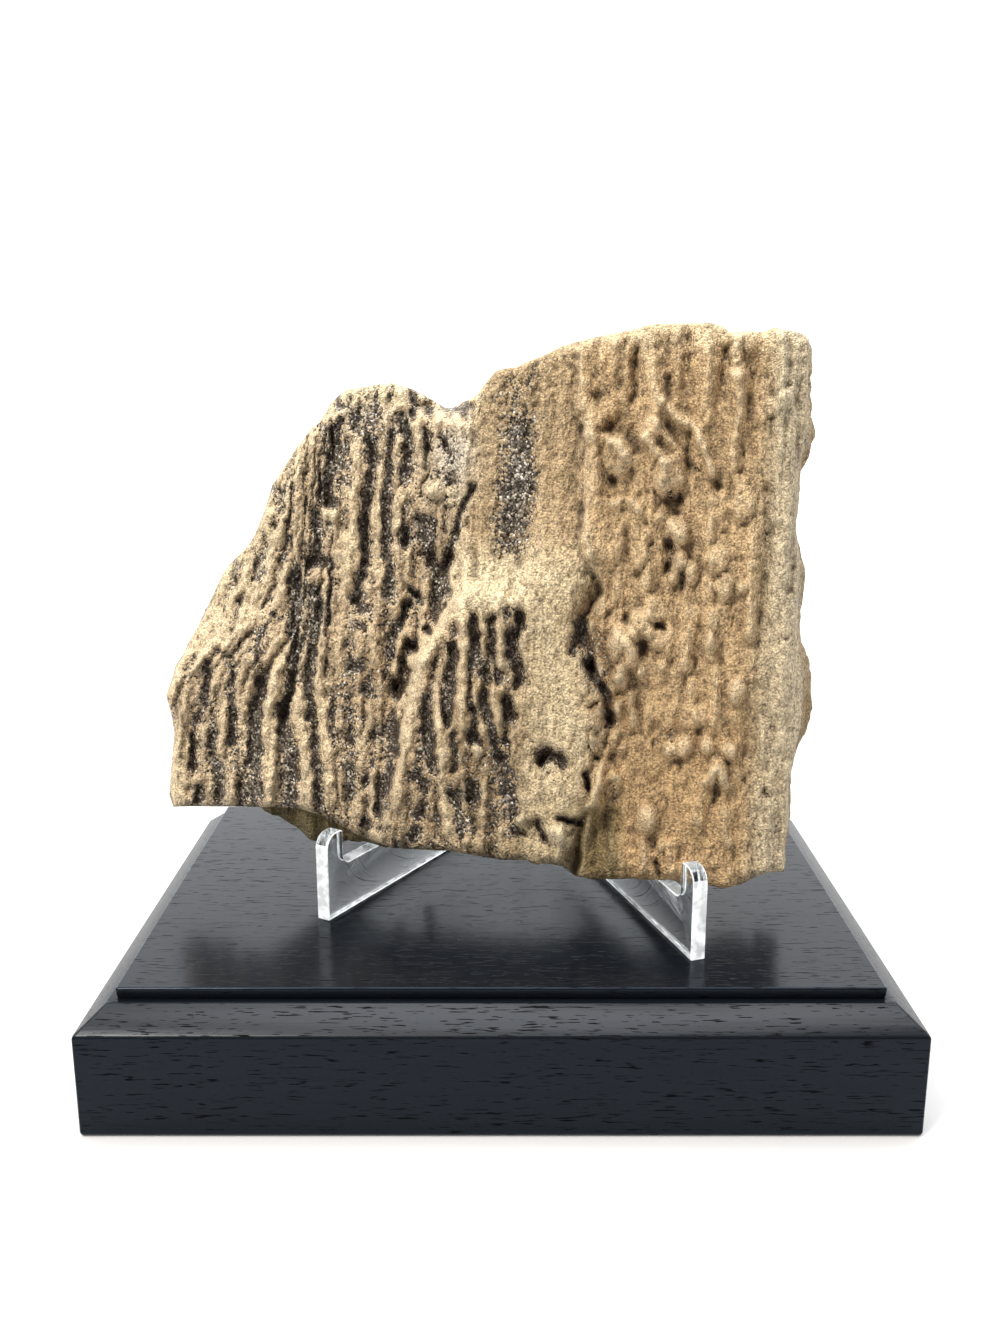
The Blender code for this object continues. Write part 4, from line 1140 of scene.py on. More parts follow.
    def form(self, x: Array, z: Array) -> Array:
        """Depth of the face down to its ribs, without beads and grains.

        Args:
            x: Places across.
            z: Places up the grain.

        Returns:
            The depth at each place.
        """
        right = step_past(x, z, self.ledge_line, 4.0)
        sunk = self.hollow_relief * (1 - 0.4 * right)
        depth = self.macro(x, z) + sunk * strokes(x, z, self.hollows, 1)
        lift = self.ridge_relief + (self.drapery_relief - self.ridge_relief) * right
        bead = domes(self.flow(x, z), z, 3.2, 4.4, 34)
        bead = right + (1 - right) * (0.45 + 0.85 * bead)
        depth = depth - lift * bead * strokes(x, z, self.ridges, 1)
        for radius, height, _, centre in self.lumps:
            away = np.hypot(x - centre[0], (z - centre[1]) * (1 - 0.3 * right)) / radius
            rise = np.maximum(1 - away ** 2, 0.0) ** (0.5 + 0.15 * right)
            depth = depth - (1 + 0.35 * right) * height * rise
        depth = depth - self.rubble(x, z)
        across = self.flow(x, z)
        depth = depth + layered_noise(across, z, self.all_over)
        depth = depth + self.left_side(x, z) * layered_noise(across, z, self.more_on_left)
        margin = smooth((x - 68.0) / 10.0) * right
        depth = depth + right * layered_noise(x, z, self.flutes)
        depth = depth + margin * layered_noise(x, z, self.margin_flutes)
        return depth + layered_noise(x, z, self.swells)

    def rubble(self, x: Array, z: Array) -> Array:
        """Height of the broken knobs between the lobe and the right slab.

        Args:
            x: Places across.
            z: Places up the grain.

        Returns:
            The height at each place.
        """
        away = (x - self.rubble_at[0]) / self.rubble_reach[0]
        up = (z - self.rubble_at[1]) / self.rubble_reach[1]
        knobs = self.rubble_height * domes(x, z, 4.4, 5.4, 76) - self.rubble_sink
        return knobs * np.exp(-away ** 2 - up ** 2)

    def druse_share(self, x: Array, z: Array, valley: Array) -> Array:
        """How far each place is druse and not crust.

        Args:
            x: Places across.
            z: Places up the grain.
            valley: How deep each place lies below its surroundings.

        Returns:
            0 on crust and 1 on druse.
        """
        left = self.left_side(x, z)
        right = step_past(x, z, self.ledge_line, 3.0)
        share = 0.02 + 0.36 * left - 0.2 * left * smooth((z - 148.0) / 9.0)
        share = share - 0.12 * smooth((-76.0 - x) / 8.0) * smooth((52.0 - z) / 14.0)
        share = share - 0.3 * smooth((line_at(z, self.crest_line) - x) / 4.0)
        streak = layered_noise(self.flow(x, z), z, self.streaks)
        share = share + streak * (0.3 + 0.7 * left)
        share = share + np.clip(valley, -1.5, 1.8) * (0.04 + 0.2 * left)
        share = share + (0.55 - 0.3 * right) * strokes(x, z, self.hollows, 2)
        return np.clip(share - 0.3 * strokes(x, z, self.ridges, 2), 0.0, 1.0)

    def fine(self, x: Array, z: Array) -> Array:
        """Small relief: sandy knobs, dripstone runs and crystal clusters.

        Args:
            x: Places across.
            z: Places up the grain.

        Returns:
            How far the surface stands proud at each place.
        """
        right = step_past(x, z, self.ledge_line, 4.0)
        flat = smooth((x - 3.0) / 4.0) * (1 - right)
        across = self.flow(x, z)
        runs = domes(across, z, 5.5, 16.0, 31) * (0.5 + 1.3 * right - 0.3 * flat)
        beads = domes(across, z, 2.4, 3.2, 32) * (1.0 - 0.2 * right - 0.6 * flat)
        crowded = smooth(0.5 + 0.9 * lattice_noise(x, z, 13.0, 22.0, 36)) * right
        knobs = domes(x, z, 6.0, 8.0, 35) * crowded * (1 - smooth((x - 72.0) / 8.0))
        small = domes(across, z, 1.5, 1.9, 33)
        grains = 0.5 * lattice_noise(x, z, 1.3, 1.6, 6)
        return 0.9 * runs + 0.9 * beads + 2.2 * knobs + 0.6 * small + grains

    def crumble(self, x: Array, z: Array) -> tuple[Array, Array]:
        """Shift places a little, so that no feature keeps a clean edge.

        Args:
            x: Places across.
            z: Places up the grain.

        Returns:
            The shifted places.
        """
        calm = 1 - 0.55 * step_past(x, z, self.ledge_line, 4.0)
        across = x + 0.5 * calm * lattice_noise(x, z, 3.6, 9.0, 61)
        across = across + 0.75 * calm * lattice_noise(x, z, 1.5, 2.2, 62)
        return across, z + 1.2 * calm * lattice_noise(x, z, 2.4, 5.0, 63)


@dataclass
class SlabStain:
    """Colour of the crust region by region, before grains and fibres, with painted highlight
    and painted shade in places.
    """

    left: str = "#E2C7A1"
    strip: str = "#C9AE86"
    right: str = "#D8B88B"
    right_low: str = "#D1AE7F"
    margin: str = "#DACAAA"
    # Light crust colour, also used for painted highlights
    pale_and_highlight: str = "#F2DFB8"
    chalk: str = "#EBE2D0"
    brown: str = "#A5855A"
    olive: str = "#8E7B50"
    back: str = "#A78C63"
    # Colour of the sides that face down: painted shade
    underside: str = "#84754F"

    # Stained patches, each as its stain, then ovals of middle, half sizes and share
    patches: tuple = (
        ("brown", (-12, 52, 13, 30, 0.9), (-46, 66, 10, 12, 0.7)),
        ("brown", (-33, 24, 14, 18, 0.5), (-24, 104, 7, 9, 1.0)),
        ("brown", (31, 149, 7, 12, 0.55)),
        ("chalk", (-20, 138, 7, 10, 0.8), (-48, 152, 12, 6, 0.3)))
    cleft: Line = ((24, 86), (30.5, 66), (32, 60))
    cleft_reach: float = 6.5

    def face(self, x: Array, z: Array, relief: FaceRelief) -> Array:
        """Colour of the face.

        Args:
            x: Places across.
            z: Places up the grain.
            relief: The face's relief, whose lines part the regions.

        Returns:
            Linear colours in the last axis.
        """
        colour = np.broadcast_to(linear(self.left)[:3], (*x.shape, 3)).copy()

        def paint(code: str, share: Array) -> None:
            """Blend one stain in by its share."""
            share = np.clip(share, 0.0, 1.0)[..., None]
            colour[...] += share * (np.array(linear(code)[:3]) - colour)

        def spot(across: float, up: float, half_width: float, half_height: float,
                 share: float) -> Array:
            """Soft oval with its full share in its middle."""
            away = ((x - across) / half_width) ** 2 + ((z - up) / half_height) ** 2
            return share * np.exp(-away)

        paint(self.strip, smooth((x + 18) / 8))
        right = step_past(x, z, relief.ledge_line, 5.0)
        paint(self.right, right)
        paint(self.right_low, right * smooth((85.0 - z) / 50.0))
        paint(self.margin, smooth((x - 74.0) / 9.0) * 0.8)
        for name, *ovals in self.patches:
            paint(getattr(self, name), sum(spot(*oval) for oval in ovals))
        # Painted highlight: lighter on the shelf, which faces up
        shelf = smooth((z - 84.0) / 8.0) * smooth((118.0 - z) / 16.0)
        shelf = shelf * smooth((x + 22.0) / 6.0) * smooth((31.0 - x) / 8.0)
        paint(self.pale_and_highlight, shelf * (0.8 - 0.45 * smooth((x - 2.0) / 6.0)))
        column = smooth((x - 4.0) / 4.0) * smooth((27.0 - x) / 5.0)
        paint(self.pale_and_highlight, 0.35 * column * smooth((96.0 - z) / 10.0))
        # Brown along the cleft: partly brown knobs, partly painted shade for its depth
        cleft = line_distance(x, z, self.cleft) / self.cleft_reach
        paint(self.brown, 1.2 * np.exp(-cleft ** 2))
        paint(self.pale_and_highlight, 0.3 * strokes(x, z, relief.ridges, 2) * (1 - right))
        # Lighter on the lumps' crowns: partly their own crust, partly painted highlight
        for radius, _, share, centre in relief.lumps:
            away = line_distance(x, z, [centre]) / radius
            paint(self.pale_and_highlight, (0.8 - 0.5 * right) * share * np.exp(-away ** 2))
        crest = line_at(z, relief.crest_line)
        paint(self.pale_and_highlight, smooth((crest + 3.0 - x) / 5.0) * 0.4)
        # Painted highlight: lighter along the top
        paint(self.pale_and_highlight, smooth((z - 146.0) / 14.0) * smooth((-8.0 - x) / 6.0) * 0.8)
        paint(self.pale_and_highlight, smooth((z - 168.0) / 10.0) * 0.45)
        hollow = smooth((x - 20.0) / 4.0) * smooth((41.0 - x) / 5.0)
        paint(self.olive, hollow * smooth((31.0 - z) / 6.0) * 0.85)
        return colour


@dataclass
class FossilSlab:
    """The stone: one slab, its face seen from the front, its sides and its back."""

    easel: BentEasel
    origin: tuple[float, float, float] = (0.0, -40.9, 61.4)
    turn: float = math.radians(10.0)
    lean: float = math.radians(10.0)
    sight: tuple[float, float, float] = (63.8, -387.0, 97.7)
    columns: int = 360
    rows: int = 212
    layers: int = 26
    edge_round: float = 3.5
    back_round: float = 8.0
    back_mean: float = 47.0
    right_extra: float = 11.0
    right_from: float = 52.0
    left_back: float = 24.0
    left_taper: float = 44.0
    least_thickness: float = 5.0
    valley_cells: int = 6
    crevice_cells: int = 5
    crevice_depth: float = 3.0
    full_layers: int = 3
    back_keep: float = 0.52
    skyline_gap: float = 0.4
    gap: float = 0.3
    past_ledge: float = 8.0
    past_rest: float = 12.0
    back_layers: tuple[Layer, ...] = ((2.4, 13.0, 70.0, 7), (1.2, 5.5, 34.0, 8),
                                      (0.9, 2.6, 18.0, 41), (3.0, 45.0, 45.0, 9))
    side_noise: tuple[Layer, ...] = ((1.6, 26.0, 7.0, 11), (2.4, 34.0, 16.0, 12),
                                     (0.8, 9.0, 2.6, 13))
    side_lumps: tuple = ((14.0, 5.5, 58, 30), (9.0, 3.5, 72, 26), (10.0, 3.0, 150, 28),
                         (12.0, 3.0, 104, 34), (11.0, 3.0, 28, 34))
    underside: tuple = ((-116, 17), (-98, 15.5), (-89, 11.5), (-83, 8), (-79, 5),
                        (-75, 2.5), (-70, 1), (-64, 0.6), (-57, 1.2), (-50, 3.2), (-40, 5),
                        (0, 5.5), (22, 3), (60, 2.5), (80, 4), (92, 8))
    outline: SlabOutline = field(default_factory=SlabOutline)
    relief: FaceRelief = field(default_factory=FaceRelief)
    stain: SlabStain = field(default_factory=SlabStain)

    def back_depth(self, x: Array, z: Array) -> Array:
        """Depth of the split back, coarser than the face but with the same grain.

        Args:
            x: Places across.
            z: Places up the grain.

        Returns:
            The depth at each place.
        """
        places, heights = np.array(self.outline.left, dtype=float).T
        inward = smooth((x - np.interp(z, heights, places)) / self.left_taper)
        depth = self.left_back + (self.back_mean - self.left_back) * inward
        depth = depth + self.right_extra * smooth((x - self.right_from) / 30.0)
        depth = depth + layered_noise(x, z, self.back_layers)
        return depth + 0.8 * domes(x, z, 3.4, 9.0, 42)

    def side_layers(self, front: Array, face: Array, back: Array
                    ) -> tuple[Array, Array]:
        """Rows of border points from the face to the back.

        Args:
            front: Places of the face's grid.
            face: Depths of the face's grid.
            back: Depths of the back's grid.

        Returns:
            Points as (layer, border, xyz), and the share of underside at each border
            point.
        """
        ring = ring_of(front)
        ahead = np.roll(ring, -1, axis=0) - np.roll(ring, 1, axis=0)
        outward = np.column_stack((ahead[:, 1], -ahead[:, 0]))
        outward = outward / np.linalg.norm(outward, axis=1)[:, None]
        steps = np.linalg.norm(np.roll(ring, -1, axis=0) - ring, axis=1)
        reach = np.concatenate(([0.0], np.cumsum(steps)[:-1]))
        start = ring_of(face)
        end = ring_of(back)
        bottom = smooth((-outward[:, 1] - 0.35) / 0.4)
        top = smooth((outward[:, 1] - 0.35) / 0.4)
        right = smooth((outward[:, 0] - 0.5) / 0.4) * smooth(ring[:, 0] / 40.0)
        places, levels = np.array(self.underside, dtype=float).T
        rows = []
        for layer in range(self.layers + 1):
            share = layer / self.layers
            depth = start + (end - start) * share
            spread = layered_noise(reach, depth, self.side_noise)
            spread = spread + 0.7 * domes(reach, depth, 3.2, 3.0, 14)
            spread = spread * smooth(share / 0.2) * (1 - 0.7 * bottom) * (1 - 0.8 * top)
            for radius, height, up, into in self.side_lumps:
                away = np.hypot(ring[:, 1] - up, depth - into)
                spread = spread + right * height * np.exp(-(away / radius) ** 2)
            spread = spread - round_over((end - start) * (1 - share), self.back_round)
            place = ring + outward * spread[:, None]
            level = np.interp(place[:, 0], places, levels) + 0.176 * (depth - 15.0)
            settle = bottom * smooth(share / 0.3)
            place[:, 1] = place[:, 1] + settle * (level - ring[:, 1])
            rows.append(np.column_stack((place[:, 0], depth, place[:, 1])))
        return np.array(rows), bottom

    def below_skyline(self, points: Array) -> Array:
        """Keep what lies behind the face under the face's own upper outline.

        Args:
            points: Points behind the face in the stone's own frame.

        Returns:
            The points, lowered where they would show over the face from the front.
        """
        skyline = np.array(self.outline.left[5:] + self.outline.top[1:], dtype=float)
        near = -self.sight[1] / (-self.sight[1] + points[:, 1])
        across = self.sight[0] + (points[:, 0] - self.sight[0]) * near
        limit = np.interp(across, skyline[:, 0], skyline[:, 1]) - self.skyline_gap
        limit = self.sight[2] + (limit - self.sight[2]) / near
        lowered = points.copy()
        lowered[:, 2] = np.minimum(points[:, 2], limit)
        return lowered

    def rest_on_easel(self, points: Array) -> Array:
        """Keep the stone off the ledges and back-rests, flat where it lies on them.

        Args:
            points: The stone's points in its own frame, changed in place.

        Returns:
            The same points.
        """
        turn = math.cos(self.turn), math.sin(self.turn)
        lean = math.cos(self.lean), math.sin(self.lean)
        easel = self.easel
        base = self.origin[2] - easel.foot_height
        wings = ((easel.left_foot, easel.left_yaw), (easel.right_foot, easel.right_yaw))
        for _ in range(2):
            for foot, yaw in wings:
                x, y, z = points.T
                into = y * lean[0] + z * lean[1]
                world_x = x * turn[0] + into * turn[1] + self.origin[0] - foot[0]
                world_y = -x * turn[1] + into * turn[0] + self.origin[1] - foot[1]
                height = z * lean[0] - y * lean[1] + base
                along = world_x * math.sin(yaw) + world_y * math.cos(yaw)
                side = world_x * math.cos(yaw) - world_y * math.sin(yaw)
                near = 1 - smooth((np.abs(side) - easel.sheet) / (2 * easel.sheet))
                low = np.maximum(0.0, easel.ledge_height + self.gap - height)
                low = low * near * (along < easel.ledge_end + self.past_ledge)
                rest = easel.ledge_end - self.gap
                rest = rest + math.tan(easel.rest_lean) * (height - easel.ledge_height)
                deep = np.maximum(0.0, along - rest) * near
                deep = deep * (height < easel.rest_top + self.past_rest)
                points[:, 2] += low / lean[0]
                points[:, 1] -= deep * math.cos(yaw - self.turn)
        return points

    def box_grid(self) -> tuple[bpy.types.Mesh, Array]:
        """A box cut into the slab's grid.

        Returns:
            The box's mesh, and the column, layer and row of each of its points.
        """
        bm = bmesh.new()
        bmesh.ops.create_cube(bm, size=2.0)
        cuts = (self.columns, self.layers, self.rows)
        for axis, count in enumerate(cuts):
            edges = [edge for edge in bm.edges
                     if abs(edge.verts[0].co[axis] - edge.verts[1].co[axis]) > 1.0]
            bmesh.ops.subdivide_edges(bm, edges=edges, cuts=count - 1,
                                      use_grid_fill=True)
        mesh = bpy.data.meshes.new("stone_slab")
        bm.to_mesh(mesh)
        bm.free()
        box = np.empty(len(mesh.vertices) * 3)
        mesh.vertices.foreach_get("co", box)
        cells = (box.reshape(-1, 3) + 1) / 2 * cuts
        return mesh, np.rint(cells).astype(int)

    def border_index(self) -> Array:
        """Number of each border cell along the ring, and -1 inside the grid.

        Returns:
            The numbers, across by up.
        """
        spots = np.dstack(np.meshgrid(np.arange(self.columns + 1),
                                      np.arange(self.rows + 1), indexing="ij"))
        walk = ring_of(spots)
        border = np.full((self.columns + 1, self.rows + 1), -1)
        border[walk[:, 0], walk[:, 1]] = np.arange(len(walk))
        return border

    def rear_grid(self, last: Array) -> Array:
        """Grid of the back, kept between its own upper and lower border.

        Args:
            last: Border points of the back, across and up.

        Returns:
            The points, across by up.
        """
        corner = np.cumsum((self.columns, self.rows, self.columns))
        rear = fill_patch(last[:corner[0] + 1],
                          last[corner[1]:corner[2] + 1][::-1],
                          np.vstack((last[corner[2]:], last[:1]))[::-1],
                          last[corner[0]:corner[1] + 1])
        for border_row, keep in ((rear[:, -1].copy(), np.minimum),
                                 (rear[:, 0].copy(), np.maximum)):
            places = np.maximum.accumulate(border_row[:, 0])
            limit = np.interp(rear[..., 0], places, border_row[:, 1])
            rear[..., 1] = keep(rear[..., 1], limit)
        return rear

    def build(self, material: bpy.types.Material) -> bpy.types.Object:
        """Model the slab and its three surface attributes.

        Args:
            material: The stone's finish.

        Returns:
            The stone's piece.
        """
        flat = self.outline.grid(self.columns, self.rows)
        x, z = flat[..., 0], flat[..., 1]
        outline = ring_of(flat)[::4]
        outline = np.vstack((outline, outline[:1]))
        edge = line_distance(x, z, outline)
        across, up = self.relief.crumble(x, z)
        form = self.relief.form(across, up)
        druse = self.relief.druse_share(across, up, form - blur(form, self.valley_cells))
        face = form + self.relief.druse_depth * druse - self.relief.fine(across, up)
        # Hollows and crowns, which the material darkens as painted shade and lightens as
        # painted highlight
        crevice = (face - blur(face, self.crevice_cells)) / self.crevice_depth
        crevice = np.clip(crevice, -1.0, 1.0)
        face = face + round_over(edge, self.edge_round)
        sight = np.array([self.sight[0], self.sight[2]])
        front = sight + (flat - sight) * (1 + face / -self.sight[1])[..., None]
        back = self.back_depth(front[..., 0], front[..., 1])
        back = back - round_over(edge, self.back_round)
        back = np.maximum(back, face + self.least_thickness)
        layers, bottom = self.side_layers(front, face, back)
        rear = self.rear_grid(layers[-1][:, [0, 2]])
        mesh, cells = self.box_grid()
        column, layer, row = cells.T
        border = self.border_index()[column, row]
        ahead = (layer == 0)[:, None]
        points = np.where(
            ahead,
            np.dstack((front[..., 0], face, front[..., 1]))[column, row],
            np.dstack((rear[..., 0], back, rear[..., 1]))[column, row])
        between = (layer > 0) & (border >= 0)
        points[between] = layers[layer[between], border[between]]
        behind = (layer > 1) & (points[:, 2] > self.sight[2])
        points[behind] = self.below_skyline(points[behind])
        points = self.rest_on_easel(points)
        mesh.vertices.foreach_set("co", (points * MM).ravel())
        self.paint(mesh, points, cells, border, druse, crevice, bottom,
                   self.stain.face(across, up, self.relief))
        mesh.polygons.foreach_set("use_smooth", np.ones(len(mesh.polygons), bool))
        mesh.update()
        stone = new_piece("stone_slab", mesh, [material], Node.STONE)
        self.place(stone)
        self.thin_back(stone, layer)
        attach(stone, "root")
        return stone

    def paint(self, mesh: bpy.types.Mesh, points: Array, cells: Array, border: Array,
              druse: Array, crevice: Array, bottom: Array, stain: Array) -> None:
        """Store druse, crevice and stain on the slab's points.

        Args:
            mesh: The slab's mesh.
            points: Its points in millimetres.
            cells: Column, layer and row of each point.
            border: Place of each point along the ring, or -1.
            druse: Share of druse on the face's grid.
            crevice: Crevices on the face's grid.
            bottom: Share of underside along the ring.
            stain: Colours of the face's grid.
        """
        column, layer, row = cells.T
        ahead = layer == 0
        across, into, up = points.T
        streak = 0.6 * lattice_noise(across + into, up, 3.4, 24.0, 51)
        streak = streak + 0.4 * lattice_noise(across - into, up, 7.0, 44.0, 52)
        other = smooth((streak - 0.22) / 0.4)
        share = np.where(ahead, druse[column, row], 0.8 * other)
        deep = np.where(ahead, crevice[column, row], 0.25 * other)
        behind = smooth(layer / self.layers * 2.5)[:, None]
        under = np.where(border >= 0, bottom[border], 0.0) * ~ahead
        colour = stain[column, row] * (1 - behind)
        colour = colour + np.array(linear(self.stain.back)[:3]) * behind
        # Painted shade: the sides that face down take the darker underside colour
        low = np.array(linear(self.stain.underside)[:3])
        colour = colour + under[:, None] * (low - colour)
        share = share * (1 - under)
        for name, values in (("druse", share), ("crevice", deep)):
            layer_data = mesh.attributes.new(name, "FLOAT", "POINT")
            layer_data.data.foreach_set("value", values.astype(np.float32))
        tint = mesh.color_attributes.new("stain", "FLOAT_COLOR", "POINT")
        rgba = np.column_stack((colour, np.ones(len(colour)))).astype(np.float32)
        tint.data.foreach_set("color", rgba.ravel())

    def place(self, piece: bpy.types.Object) -> None:
        """Stand a piece modelled in the stone's own frame where the stone rests."""
        piece.location = [value * MM for value in self.origin]
        piece.rotation_euler = (-self.lean, 0.0, -self.turn)

    def thin_back(self, stone: bpy.types.Object, layer: Array) -> None:
        """Take faces away behind the face, where less detail is needed.

        Args:
            stone: The stone's piece.
            layer: Layer of each of its points.
        """
        group = stone.vertex_groups.new(name="behind")
        behind = np.nonzero(layer > self.full_layers)[0]
        group.add(behind.tolist(), 1.0, "REPLACE")
        thin = stone.modifiers.new("fewer faces behind", "DECIMATE")
        thin.ratio = self.back_keep
        thin.vertex_group = group.name


# Easel


@dataclass
class BentEasel:
    """Clear easel: a flat blank with two hooked wings, bent about an upright line."""

    sheet: float = 5.0
    left_foot: Point = (-60.0, -31.75)
    right_foot: Point = (61.9, -60.7)
    left_yaw: float = math.radians(31.1)
    right_yaw: float = math.radians(-18.9)
    bend_radius: float = 9.0
    slices: int = 26
    hook_top: float = 30.0
    hook_back: float = 8.5
    hook_shoulder: float = 25.0
    hook_round: float = 1.0
    ledge_height: float = 17.4
    ledge_start: float = 12.0
    ledge_end: float = 61.0
    heel: float = 1.5
    rest_lean: float = math.radians(11.0)
    rest_top: float = 116.0
    rest_corner: float = 6.0
    spine_height: float = 96.0
    bevel: float = 0.35
    bevel_turn: float = 0.2
    face_turn: float = 0.97
    sharp_angle: float = math.radians(28)
    foot_height: float = 44.0

    def arc(self, centre: Point, radius: float, start: float, end: float, steps: int
            ) -> Line:
        """Points of an arc in degrees, both ends included.

        Args:
            centre: The arc's centre.
            radius: Its radius.
            start: First angle.
            end: Last angle.
            steps: Number of steps between them.

        Returns:
            The points.
        """
        angles = [math.radians(start + (end - start) * i / steps)
                  for i in range(steps + 1)]
        return [(centre[0] + radius * math.cos(a), centre[1] + radius * math.sin(a))
                for a in angles]

    def wing_profile(self) -> Line:
        """Upper outline of one wing from its foot to the back-rest's rounded top.

        Returns:
            The outline's points, as distance from the foot and height.
        """
        rise = self.hook_top - self.hook_shoulder
        fillet = self.ledge_start - self.hook_back
        lean_run = math.tan(self.rest_lean) * (self.rest_top - self.ledge_height)
        top = (self.ledge_end + lean_run + self.rest_corner,
               self.rest_top - self.rest_corner)
        points = [(0.0, 0.0)]
        points += self.arc((rise, self.hook_shoulder), rise, 180, 90, 10)
        points += self.arc((self.hook_back - self.hook_round,
                            self.hook_top - self.hook_round), self.hook_round, 90, 0, 5)
        points += self.arc((self.ledge_start, self.ledge_height + fillet), fillet, 180,
                           270, 8)
        points.append((self.ledge_end - self.heel, self.ledge_height))
        points.append((self.ledge_end + 0.4, self.ledge_height + self.heel))
        points += self.arc(top, self.rest_corner, 180 - math.degrees(self.rest_lean), 60,
                           12)
        return points

    def takes_painted_edge_glow(self, face: bmesh.types.BMFace) -> bool:
        """Tell whether a face of the flat blank takes the edge's painted white glow.

        The foot, the two front edges and the small bevels get the painted glow. The hooks'
        tops and the ledges stay clear.

        Args:
            face: The face.

        Returns:
            True where the face takes the edge's finish.
        """
        turn = abs(face.normal.z)
        if turn > self.bevel_turn:
            return turn < self.face_turn
        middle = face.calc_center_median()
        left_run, right_run, bend_run = self.wing_lengths()
        end = min(middle.x / MM, left_run + right_run + bend_run - middle.x / MM)
        upright = abs(face.normal.x) > self.face_turn and end < self.bevel
        return upright or face.normal.y < -self.face_turn

    def wing_lengths(self) -> tuple[float, float, float]:
        """Straight length of each wing up to the bend, and the bend's length.

        Returns:
            The left wing's length, the right wing's and the bend's.
        """
        left = np.array([math.sin(self.left_yaw), math.cos(self.left_yaw)])
        right = np.array([math.sin(self.right_yaw), math.cos(self.right_yaw)])
        span = np.array(self.right_foot) - np.array(self.left_foot)
        to_apex = np.linalg.solve(np.column_stack((left, -right)), span)
        turn = math.pi - (self.left_yaw - self.right_yaw)
        tangent = self.bend_radius * math.tan(turn / 2)
        return to_apex[0] - tangent, to_apex[1] - tangent, self.bend_radius * turn

    def bend_point(self, run: float, side: float) -> Array:
        """Plan position of a point of the blank.

        Args:
            run: Distance along the blank from the left foot.
            side: Distance to the right of its middle plane.

        Returns:
            The place across and back.
        """
        left_run, _, bend_run = self.wing_lengths()
        along = np.array([math.sin(self.left_yaw), math.cos(self.left_yaw)])
        across = np.array([along[1], -along[0]])
        start = np.array(self.left_foot)
        if run <= left_run:
            return start + along * run + across * side
        centre = start + along * left_run + across * self.bend_radius
        yaw = self.left_yaw + min(run - left_run, bend_run) / self.bend_radius
        along = np.array([math.sin(yaw), math.cos(yaw)])
        across = np.array([along[1], -along[0]])
        past = max(0.0, run - left_run - bend_run)
        return centre - across * (self.bend_radius - side) + along * past

    def blank(self) -> bpy.types.Mesh:
        """Flat blank with a small polished bevel round its faces.

        Returns:
            The blank's mesh, lying in the plane of X and Y.
        """
        left_run, right_run, bend_run = self.wing_lengths()
        total = left_run + bend_run + right_run
        right = [(total - x, z) for x, z in reversed(self.wing_profile())]
        spine = [(left_run, self.spine_height), (left_run + bend_run, self.spine_height)]
        curve = bpy.data.curves.new("easel_blank", "CURVE")
        curve.dimensions = "2D"
        curve.fill_mode = "BOTH"
        curve.extrude = (self.sheet / 2 - self.bevel) * MM
        curve.bevel_depth = self.bevel * MM
        curve.bevel_resolution = 2
        curve.offset = -self.bevel * MM
        outline = self.wing_profile() + spine + right
        spline = curve.splines.new("POLY")
        spline.points.add(len(outline) - 1)
        for point, (x, z) in zip(spline.points, outline):
            point.co = (x * MM, z * MM, 0.0, 1.0)
        spline.use_cyclic_u = True
        guide = bpy.data.objects.new("easel_blank", curve)
        bpy.context.scene.collection.objects.link(guide)
        evaluated = guide.evaluated_get(bpy.context.evaluated_depsgraph_get())
        mesh = bpy.data.meshes.new_from_object(evaluated)
        bpy.data.objects.remove(guide, do_unlink=True)
        return mesh

    def build(self, finish: CastAcrylicFinish) -> bpy.types.Object:
        """Bend the blank and stand it on the panel.

        Args:
            finish: The acrylic's finish.

        Returns:
            The easel's piece.
        """
        mesh = self.blank()
        left_run, _, bend_run = self.wing_lengths()
        bm = bmesh.new()
        bm.from_mesh(mesh)
        bmesh.ops.remove_doubles(bm, verts=bm.verts, dist=0.001 * MM)
        bm.normal_update()
        for face in bm.faces:
            face.material_index = int(self.takes_painted_edge_glow(face))
        for step in range(self.slices + 1):
            cut = (left_run + bend_run * step / self.slices) * MM
            everything = bm.verts[:] + bm.edges[:] + bm.faces[:]
            bmesh.ops.bisect_plane(bm, geom=everything, plane_co=(cut, 0, 0),
                                   plane_no=(1, 0, 0), dist=0.0001 * MM)
        for vert in bm.verts:
            x, y = self.bend_point(vert.co.x / MM, -vert.co.z / MM)
            vert.co = (x * MM, y * MM, vert.co.y + self.foot_height * MM)
        bmesh.ops.triangulate(bm, faces=bm.faces)
        bmesh.ops.recalc_face_normals(bm, faces=bm.faces)
        if bm.calc_volume(signed=True) < 0:
            bmesh.ops.reverse_faces(bm, faces=bm.faces)
        bm.to_mesh(mesh)
        bm.free()
        mesh.name = "easel"
        mesh.shade_smooth()
        mesh.set_sharp_from_angle(angle=self.sharp_angle)
        piece = new_piece("easel", mesh, [finish.build(), finish.edge()], Node.EASEL)
        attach(piece, "root")
        return piece


# Base


